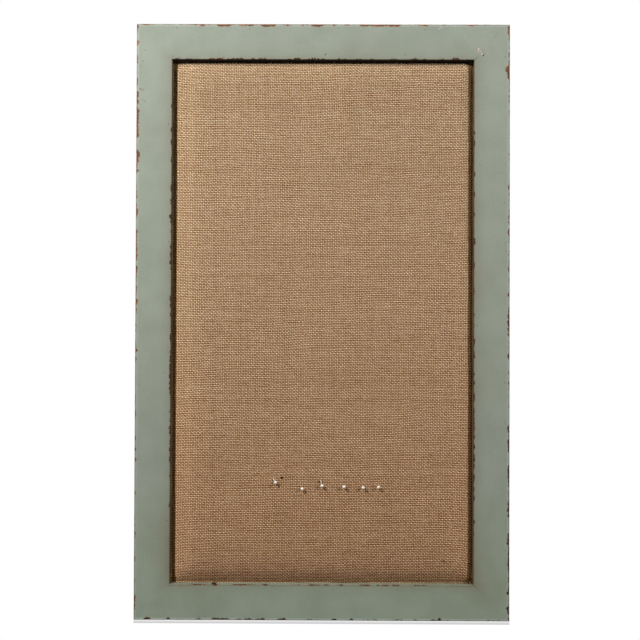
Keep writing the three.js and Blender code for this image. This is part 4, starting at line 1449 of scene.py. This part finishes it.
@dataclass
class CoveredBoard:
    """The padded board in the opening: cloth stretched over wadding on soft fibreboard."""

    lip_thickness: float = LIP_THICKNESS
    rise: float = 12 * MM  # crown of the cloth above the lip's rear edge
    left_roll: float = 20 * MM  # distance in from the left in which it makes 63 % of its rise
    right_roll: float = 11.5 * MM  # the same from the right, where the cloth is pulled tighter
    top_roll: float = 11 * MM
    bottom_roll: float = 16 * MM
    edge_zone: float = 40 * MM  # from the lip to where the cloth is flat
    cloth_thickness: float = 1 * MM
    turned_under: float = 32 * MM
    step: float = 4 * MM
    slack: float = 0.35 * MM  # unevenness of the padding under the cloth
    waves: int = 14  # that make up the unevenness
    seed: int = 7

    def __post_init__(self) -> None:
        """Reads the cover's size and the opening from the solids."""
        _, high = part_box("linen_cover")
        self.half_width = high.x
        self.half_height = high.z
        self.back_y = high.y
        self.shoulder_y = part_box("top_rail")[0].y + self.lip_thickness
        self.sight_half_width = -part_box("left_stile")[1].x
        self.sight_half_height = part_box("top_rail")[0].z

    def crown(self, x: np.ndarray, z: np.ndarray) -> np.ndarray:
        """Depth of the cloth's outer surface: shoulder - rise (1 - (e^(-4 a / s) + e^(-4 b / t))^(1/4)).

        Args:
            x: places across.
            z: places up.

        Returns:
            Y at each place; a and b are the distances in from the lip, at least 0, and s and t the rolls.
        """
        inset_x = np.clip(self.sight_half_width - np.abs(x), 0, None)
        inset_z = np.clip(self.sight_half_height - np.abs(z), 0, None)
        across = np.exp(-4 * inset_x / np.where(x < 0, self.left_roll, self.right_roll))
        along = np.exp(-4 * inset_z / np.where(z < 0, self.bottom_roll, self.top_roll))
        fall = (across + along) ** 0.25
        return self.shoulder_y - self.rise * np.clip(1 - fall, 0, 1)

    def lines(self, half: float, sight: float) -> np.ndarray:
        """Places of the grid lines over the front: close together at the lip, then even steps."""
        near = sight - self.edge_zone
        inner = np.linspace(-near, near, int(2 * near / self.step))
        edge = np.concatenate([np.linspace(half, sight, 4)[:-1], np.linspace(sight, near, 30)[:-1]])
        return np.concatenate([-edge, inner, edge[::-1]])

    def folded(self, a: np.ndarray, b: np.ndarray, side: float) -> tuple[np.ndarray, np.ndarray]:
        """Places of the sheet's points once it is on the board.

        Flat coordinate a runs over the front to the edge at h, then down the side by d, then under by r, so
        its place is clip(a, -h, h) less the stretch turned under.

        Args:
            a: flat places across.
            b: flat places along.
            side: how far the cloth runs down the board's side.

        Returns:
            The points, and whether each lies in a corner that is cut away.
        """
        half = self.cloth_thickness / 2
        edge_x, edge_z = self.half_width - half, self.half_height - half
        past_x = np.clip(np.abs(a) - edge_x, 0, None)
        past_z = np.clip(np.abs(b) - edge_z, 0, None)
        under_x = np.clip(past_x - side, 0, None)
        under_z = np.clip(past_z - side, 0, None)
        x = np.clip(a, -edge_x, edge_x)
        z = np.clip(b, -edge_z, edge_z)
        x = x - np.sign(x) * under_x
        z = z - np.sign(z) * under_z
        x = x * (1 - under_z / self.half_height)
        z = z * (1 - under_x / self.half_width)
        y = self.crown(a, b) + half + np.clip(past_x, 0, side) + np.clip(past_z, 0, side)
        y = y + self.unevenness(a, b)
        return np.stack([x, y, z], -1), (past_x > 0) & (past_z > 0)

    def cloth(self, shop: Workshop) -> bpy.types.Object:
        """The sheet: crowned in front, turned over the core's edges and under onto its back.

        Args:
            shop: where its finish comes from.

        Returns:
            The sheet.
        """
        side = self.back_y - self.cloth_thickness / 2 - self.shoulder_y
        over = np.concatenate([np.linspace(0, side, 5)[1:], side + np.linspace(0, self.turned_under, 7)[1:]])

        def fold(lines: np.ndarray) -> np.ndarray:
            """Adds the turned-over lines at both ends."""
            return np.concatenate([lines[0] - over[::-1], lines, lines[-1] + over])

        half = self.cloth_thickness / 2
        flat_x = fold(self.lines(self.half_width - half, self.sight_half_width))
        flat_z = fold(self.lines(self.half_height - half, self.sight_half_height))
        a, b = np.meshgrid(flat_x, flat_z)
        points, corner = self.folded(a, b, side)
        faces = grid_faces(len(flat_z), len(flat_x))
        kept = faces[~corner.ravel()[faces].any(axis=1)]
        used = np.unique(kept)
        number = np.full(a.size, -1)
        number[used] = np.arange(len(used))
        skin = Skin(points.reshape(-1, 3)[used], [number[kept]])
        sheet = skin.piece("linen_sheet", LINEN, shop)
        self.lay_flat_map(sheet, a.ravel()[used], b.ravel()[used], flat_x[-1], flat_z[-1])
        thick = sheet.modifiers.new("cloth_thickness", "SOLIDIFY")
        thick.thickness = self.cloth_thickness
        thick.offset = 0.0
        shop.seat(sheet, BOARD_BODY, "linen_cover")
        return sheet

    def unevenness(self, x: np.ndarray, z: np.ndarray) -> np.ndarray:
        """Slow hollows of the wadding, a sum of a few seeded waves, none of it behind the lip."""
        rng = np.random.default_rng(self.seed)
        total = np.zeros_like(x)
        for _ in range(self.waves):
            length = rng.uniform(60, 190) * MM
            turn = rng.uniform(0, math.pi)
            phase = rng.uniform(0, 2 * math.pi)
            total += np.cos((x * math.cos(turn) + z * math.sin(turn)) * 2 * math.pi / length + phase)
        inset = np.minimum(self.sight_half_width - np.abs(x), self.sight_half_height - np.abs(z))
        fade = np.clip(inset / self.edge_zone, 0, 1)
        return self.slack * fade * np.clip(1 + total / self.waves * 2, 0, None)

    @staticmethod
    def lay_flat_map(
        sheet: bpy.types.Object, a: np.ndarray, b: np.ndarray, half_a: float, half_b: float
    ) -> None:
        """Writes the cloth's flat coordinates, from 0 to 1, as its UV map.

        Args:
            sheet: the cloth.
            a: flat place across of each point.
            b: flat place along of each point.
            half_a: half the cut's width.
            half_b: half the cut's length.
        """
        layer = sheet.data.uv_layers.new(name="flat_cloth")
        corner = np.empty(len(sheet.data.loops), np.int32)
        sheet.data.loops.foreach_get("vertex_index", corner)
        flat = np.stack([0.5 + a / half_a / 2, 0.5 + b / half_b / 2], -1)
        layer.data.foreach_set("uv", flat[corner].astype(np.float32).ravel())

    def pad(self, shop: Workshop) -> bpy.types.Object:
        """The wadding: a closed block with the cloth's crown in front and a flat back.

        Args:
            shop: where its finish comes from.

        Returns:
            The pad.
        """
        low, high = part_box("padding")
        xs = self.lines(high.x, self.sight_half_width)
        zs = self.lines(high.z, self.sight_half_height)
        x, z = np.meshgrid(xs, zs)
        gap = low.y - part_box("linen_cover")[0].y
        front = np.stack([x, self.crown(x, z) + self.unevenness(x, z) + gap, z], -1)
        back = front.copy()
        back[..., 1] = high.y
        rows, columns = x.shape
        faces = grid_faces(rows, columns)
        number = np.arange(rows * columns).reshape(rows, columns)
        rim = np.concatenate([number[0, :-1], number[:-1, -1], number[-1, :0:-1], number[:0:-1, 0]])
        after = np.roll(rim, -1)
        shift = rows * columns
        wall = np.stack([rim, rim + shift, after + shift, after], -1)
        points = np.concatenate([front.reshape(-1, 3), back.reshape(-1, 3)])
        skin = Skin(points, [faces, faces[:, ::-1] + shift, wall])
        pad = skin.piece("padding_pad", WADDING, shop)
        shop.seat(pad, BOARD_BODY, "padding")
        return pad

    def build(self, shop: Workshop) -> None:
        """Makes the pad and the sheet, and dresses the boards behind them."""
        self.pad(shop)
        self.cloth(shop)
        shop.dress_node("core_board", FIBREBOARD)
        shop.dress_node("back_panel", HARDBOARD)


def lathe(profile: np.ndarray, sides: int, axis: Vector, foot: Vector) -> Skin:
    """A profile turned round an axis: (r cos t, r sin t, h) from foot, with both ends on the axis.

    Args:
        profile: (radius, height) from one end to the other.
        sides: points round the axis.
        axis: direction of the axis.
        foot: where height 0 lies.

    Returns:
        The closed surface.
    """
    turn = np.arange(sides) * 2 * math.pi / sides
    radius = profile[1:-1, 0][:, None]
    height = np.broadcast_to(profile[1:-1, 1][:, None], (len(profile) - 2, sides))
    ring = np.stack([radius * np.cos(turn), radius * np.sin(turn), height], -1).reshape(-1, 3)
    ends = np.array([[0, 0, profile[0, 1]], [0, 0, profile[-1, 1]]])
    local = np.concatenate([ring, ends])
    rows = len(profile) - 2
    first, last = rows * sides, rows * sides + 1
    here = np.arange(sides)
    after = (here + 1) % sides
    bottom = np.stack([np.full(sides, first), after, here], -1)
    top = np.stack([np.full(sides, last), here + (rows - 1) * sides, after + (rows - 1) * sides], -1)
    basis = np.array(axis.normalized().to_track_quat("Z", "Y").to_matrix())
    points = local @ basis.T + np.array(foot)
    return Skin(points, [grid_faces(rows, sides, close_columns=True), bottom, top])


@dataclass
class BallPin:
    """A pin: a white ball on a steel needle, pushed at a slant into the cloth."""

    number: int
    head_radius: float = 2.1 * MM
    needle_radius: float = 0.35 * MM
    point_length: float = 2.5 * MM
    collar_radius: float = 0.62 * MM
    collar_length: float = 0.15 * MM
    head_sides: int = 40
    wire_sides: int = 20

    def __post_init__(self) -> None:
        """Reads the pin's axis from its joint and its place from its solids."""
        self.body = f"pin_{self.number}"
        joint = next(j for j in frame["joints"] if j["child"] == self.body)
        self.axis = Vector(joint["axis"]).normalized()
        low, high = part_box(f"{self.body}_head")
        self.centre = (low + high) / 2
        needle = frame["nodes"][f"{self.body}_needle"].data.vertices
        self.point_at = min((v.co - self.centre).dot(self.axis) for v in needle)

    def build(self, shop: Workshop) -> None:
        """Makes the ball with its short collar, and the needle."""
        turn = np.linspace(0, math.pi, 25)
        ball = np.stack([np.sin(turn), -np.cos(turn)], -1) * self.head_radius
        collar = np.array([
            [0, -self.head_radius - self.collar_length],
            [self.needle_radius * 1.25, -self.head_radius - self.collar_length],
            [self.collar_radius * 0.75, -self.head_radius - self.collar_length * 0.3],
        ])
        shown = ball[(ball[:, 0] > self.collar_radius) | (ball[:, 1] > 0)][:-1]
        profile = np.concatenate([collar, shown, [[0, self.head_radius]]])
        ball_skin = lathe(profile, self.head_sides, self.axis, self.centre)
        head = ball_skin.piece(f"{self.body}_ball", WHITE_PLASTIC, shop)
        shop.seat(head, self.body, f"{self.body}_head")

        wire = self.needle_radius
        shank = np.array([
            [0, self.point_at],
            [wire * 0.25, self.point_at + self.point_length * 0.12],
            [wire * 0.8, self.point_at + self.point_length * 0.7],
            [wire, self.point_at + self.point_length],
            [wire, -self.head_radius],
            [wire, 0],
            [0, 0],
        ])
        wire_skin = lathe(shank, self.wire_sides, self.axis, self.centre)
        needle = wire_skin.piece(f"{self.body}_wire", NEEDLE_STEEL, shop)
        shop.seat(needle, self.body, f"{self.body}_needle")


def tube(path: np.ndarray, radius: float, sides: int, across: np.ndarray, up: np.ndarray) -> Skin:
    """Round wire along a closed line that lies in one plane.

    The surface is p(s) + r (n(s) cos t + b sin t), with n square to the line in its plane and b to the plane.

    Args:
        path: (across, up) of the middle line, anticlockwise.
        radius: of the wire.
        sides: points round the wire.
        across: direction of the path's first coordinate.
        up: direction of its second.

    Returns:
        The closed surface, about the path's origin.
    """
    ahead = np.roll(path, -1, 0) - np.roll(path, 1, 0)
    ahead /= np.linalg.norm(ahead, axis=1, keepdims=True)
    plane = np.stack([across, up])
    normal = np.stack([ahead[:, 1], -ahead[:, 0]], -1) @ plane
    turn = np.arange(sides) * 2 * math.pi / sides
    ring = normal[:, None] * np.cos(turn)[:, None] + np.cross(across, up) * np.sin(turn)[:, None]
    points = (path @ plane)[:, None] + radius * ring
    return Skin(points, [grid_faces(len(path), sides, close_rows=True, close_columns=True)[:, ::-1]])


@dataclass
class DRing:
    """A hanger's D-ring: wire bent to a straight bar in the strap's eye and a bow above it."""

    side: str
    wire: float = 1.2 * MM
    half_bar: float = 9.7 * MM
    bend: float = 2 * MM
    steps: int = 24
    wire_sides: int = 20

    def path(self, reach: float) -> np.ndarray:
        """The wire's middle line: bar, quarter circle, half the ellipse (a cos t, b sin t), quarter circle.

        Args:
            reach: from the bar to the top of the bow.

        Returns:
            (across, up) of the points, anticlockwise from the bar's left end.
        """
        straight = self.half_bar - self.bend
        share = np.arange(self.steps)[:, None] / self.steps
        turn = share * math.pi / 2
        bar = np.array([-straight, 0]) + share * np.array([2 * straight, 0])
        first = np.array([straight, self.bend]) + self.bend * np.hstack([np.sin(turn), -np.cos(turn)])
        half = np.arange(3 * self.steps)[:, None] / (3 * self.steps) * math.pi
        bow = np.hstack([self.half_bar * np.cos(half), self.bend + (reach - self.bend) * np.sin(half)])
        last = np.array([-straight, self.bend]) - self.bend * np.hstack([np.cos(turn), np.sin(turn)])
        return np.concatenate([bar, first, bow, last])

    def build(self, shop: Workshop) -> None:
        """Makes the ring where its solid lies, leaning as it does."""
        node = f"{self.side}_d_ring"
        low, high = (np.array(corner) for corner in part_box(node))
        foot = np.array([(low[0] + high[0]) / 2, high[1] - self.wire, low[2] + self.wire])
        top = np.array([foot[0], low[1] + self.wire, high[2] - self.wire])
        reach = float(np.linalg.norm(top - foot))
        across = np.array([1.0, 0, 0])
        skin = tube(self.path(reach), self.wire, self.wire_sides, across, (top - foot) / reach)
        skin.points = skin.points + foot
        body = next(j["child"] for j in frame["joints"] if j["child"].startswith(self.side))
        shop.seat(skin.piece(f"{node}_wire", ZINC, shop), body, node)


@dataclass
class Bumper:
    """A rubber bumper: a round foot on the wood that rises to a flat top against the wall."""

    side: str
    foot_radius: float = 6.5 * MM
    top_radius: float = 3.5 * MM
    wall_share: float = 0.12  # of its height, before the dome starts
    sides: int = 48

    def build(self, shop: Workshop) -> None:
        """Turns the profile: a short wall, then a quarter ellipse to the flat top."""
        node = f"{self.side}_wall_bumper"
        low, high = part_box(node)
        tall = high.y - low.y
        rim = tall * self.wall_share
        turn = np.linspace(0, math.pi / 2, 13)
        radius = self.top_radius + (self.foot_radius - self.top_radius) * np.cos(turn)
        dome = np.stack([radius, rim + (tall - rim) * np.sin(turn)], -1)
        profile = np.concatenate([[[0, 0], [self.foot_radius, 0]], dome, [[0, tall]]])
        middle = (low + high) / 2
        foot = Vector((middle.x, low.y, middle.z))
        skin = lathe(profile, self.sides, Vector((0, 1, 0)), foot)
        shop.seat(skin.piece(f"{node}_turned", RUBBER, shop), BOARD_BODY, node)


@dataclass
class Hardware:
    """Metal and rubber on the back: retaining points, corner nails, hangers and bumpers."""

    plain_names: tuple[str, ...] = ("_point_", "corner_nail", "hanger_strap", "hanger_screw")

    def build(self, shop: Workshop) -> None:
        """Dresses the solids that keep their shape and makes the round pieces anew."""
        for name in frame["nodes"]:
            if any(part in name for part in self.plain_names):
                shop.dress_node(name, ZINC)
        for side in ("left", "right"):
            DRing(side).build(shop)
            Bumper(side).build(shop)


@dataclass
class Studio:
    """Camera, lamps, backdrop and floor."""

    eye: tuple[float, float, float] = (4.1 * MM, -1537 * MM, -18.6 * MM)
    tilt: tuple[float, float, float] = (-0.776, -0.276, -0.195)  # degrees about right, up and back
    focal_share: float = 1103.2 / 640  # focal length over the picture's width
    sensor: float = 36.0
    fill: float = 0.04
    lamp_size: float = 0.14
    left_lamp: tuple[float, float, float] = (-1.041, -1.1, 0.998)
    left_power: float = 33.6
    right_lamp: tuple[float, float, float] = (1.546, -1.087, 0.73)
    right_power: float = 25.0
    back_lamp: tuple[float, float, float] = (0.5, 2.0, 1.4)
    back_power: float = 45.0
    back_size: float = 1.2
    floor_radius: float = 6.0
    floor_sides: int = 64
    floor_colour: Colour = srgb(78, 78, 78)
    contact_shadow_near: float = 0.27  # share of the dark floor's lamp-lit shading that shows right at the board's foot, as a painted contact shadow
    contact_shadow_far: float = 0.42  # the same where that strip ends
    contact_shadow_reach: float = 16 * MM

    def camera(self) -> None:
        """Places the camera: first it looks along +Y, then it is tilted about its own axes."""
        data = bpy.data.cameras.new("camera")
        data.sensor_width = self.sensor
        data.lens = self.focal_share * self.sensor
        data.clip_start = 0.01
        camera = bpy.data.objects.new("camera", data)
        level = Matrix(((1, 0, 0), (0, 0, 1), (0, -1, 0)))
        turned = Euler([math.radians(angle) for angle in self.tilt], "XYZ").to_matrix()
        camera.matrix_world = Matrix.Translation(self.eye) @ (turned @ level).transposed().to_4x4()
        bpy.context.scene.collection.objects.link(camera)
        bpy.context.scene.camera = camera

    @staticmethod
    def lamp(name: str, place: tuple[float, float, float], power: float, size: float) -> None:
        """Adds a round lamp that looks at the origin.

        Args:
            name: the lamp's name.
            place: where it hangs.
            power: watts.
            size: its diameter.
        """
        data = bpy.data.lights.new(name, "AREA")
        data.shape = "DISK"
        data.size = size
        data.energy = power
        made = bpy.data.objects.new(name, data)
        made.location = place
        made.rotation_euler = (-Vector(place)).to_track_quat("-Z", "Y").to_euler()
        bpy.context.scene.collection.objects.link(made)

    @staticmethod
    def seen_directly(graph: Graph) -> Signal:
        """1 for camera, glossy and transmission rays."""
        path = graph.node("LightPath")
        camera = Signal(graph, path.outputs["Is Camera Ray"])
        glossy = Signal(graph, path.outputs["Is Glossy Ray"])
        clear = Signal(graph, path.outputs["Is Transmission Ray"])
        return graph.math("MAXIMUM", graph.math("MAXIMUM", camera, glossy), clear)

    def world(self) -> None:
        """White where it is seen, and a low even fill for everything else."""
        world = bpy.data.worlds.new("studio")
        world.use_nodes = True
        bpy.context.scene.world = world
        tree = world.node_tree
        tree.nodes.clear()
        graph = Graph(tree)
        strength = self.fill + self.seen_directly(graph) * (1.0 - self.fill)
        light = graph.node("Background")
        graph.feed(light.inputs["Color"], WHITE)
        graph.feed(light.inputs["Strength"], strength)
        tree.links.new(light.outputs[0], graph.node("OutputWorld").inputs["Surface"])

    def floor(self) -> None:
        """A round floor that looks white, apart from a painted contact shadow at the board's foot, where its
        dark, lamp-lit shading shows.
        """
        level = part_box(Side.BOTTOM.node)[0].z
        turn = np.arange(self.floor_sides) * 2 * math.pi / self.floor_sides
        rim = np.stack([np.cos(turn), np.sin(turn), np.zeros_like(turn)], -1) * self.floor_radius
        mesh = bpy.data.meshes.new("floor")
        mesh.from_pydata((rim + np.array([0, 0, level])).tolist(), [], [list(range(self.floor_sides))])
        floor = bpy.data.objects.new("floor", mesh)
        bpy.context.scene.collection.objects.link(floor)
        made = bpy.data.materials.new("pale_floor")
        made.use_nodes = True
        tree = made.node_tree
        tree.nodes.clear()
        graph = Graph(tree)
        matt = graph.node("BsdfDiffuse")
        graph.feed(matt.inputs["Color"], self.floor_colour)
        glow = graph.node("Emission")
        mixed = graph.node("MixShader")
        x, y, _ = graph.parts(graph.place())
        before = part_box(Side.BOTTOM.node)[0].y - y
        seen_edge = CAD_BOX[1][0] * (1.0 - before / (CAD_BOX[0][1] - self.eye[1]))
        beside = graph.math("ABSOLUTE", x) - seen_edge
        # Painted contact shadow: a strip in front of the board's foot where the dark floor's own shading
        # shows.
        share = graph.between(before, self.contact_shadow_reach * 0.3, self.contact_shadow_reach * 0.7)
        contact_shadow = self.contact_shadow_near + share * (self.contact_shadow_far - self.contact_shadow_near)
        contact_shadow = contact_shadow * (1.0 - graph.between(beside, -1.0 * MM, 0.5 * MM))
        contact_shadow = contact_shadow * (1.0 - graph.between(before, self.contact_shadow_reach * 0.93, self.contact_shadow_reach))
        contact_shadow = contact_shadow * graph.between(before, -2.0 * MM, 0.0)
        graph.feed(mixed.inputs[0], self.seen_directly(graph) * (1.0 - contact_shadow))
        tree.links.new(matt.outputs[0], mixed.inputs[1])
        tree.links.new(glow.outputs[0], mixed.inputs[2])
        tree.links.new(mixed.outputs[0], graph.node("OutputMaterial").inputs["Surface"])
        mesh.materials.append(made)

    def build(self) -> None:
        """Sets up the whole studio."""
        bpy.context.scene.view_settings.view_transform = "Standard"
        self.camera()
        self.lamp("left_lamp", self.left_lamp, self.left_power, self.lamp_size)
        self.lamp("right_lamp", self.right_lamp, self.right_power, self.lamp_size)
        self.lamp("back_lamp", self.back_lamp, self.back_power, self.back_size)
        self.world()
        self.floor()


def main() -> None:
    """Builds every sub-assembly in order."""
    logging.basicConfig(level=logging.INFO, format="%(name)s: %(message)s")
    Studio().build()
    shop = Workshop()
    PaintedFrame().build(shop)
    CoveredBoard().build(shop)
    for number in range(1, PIN_COUNT + 1):
        BallPin(number).build(shop)
    Hardware().build(shop)


if __name__ == "__main__":
    main()
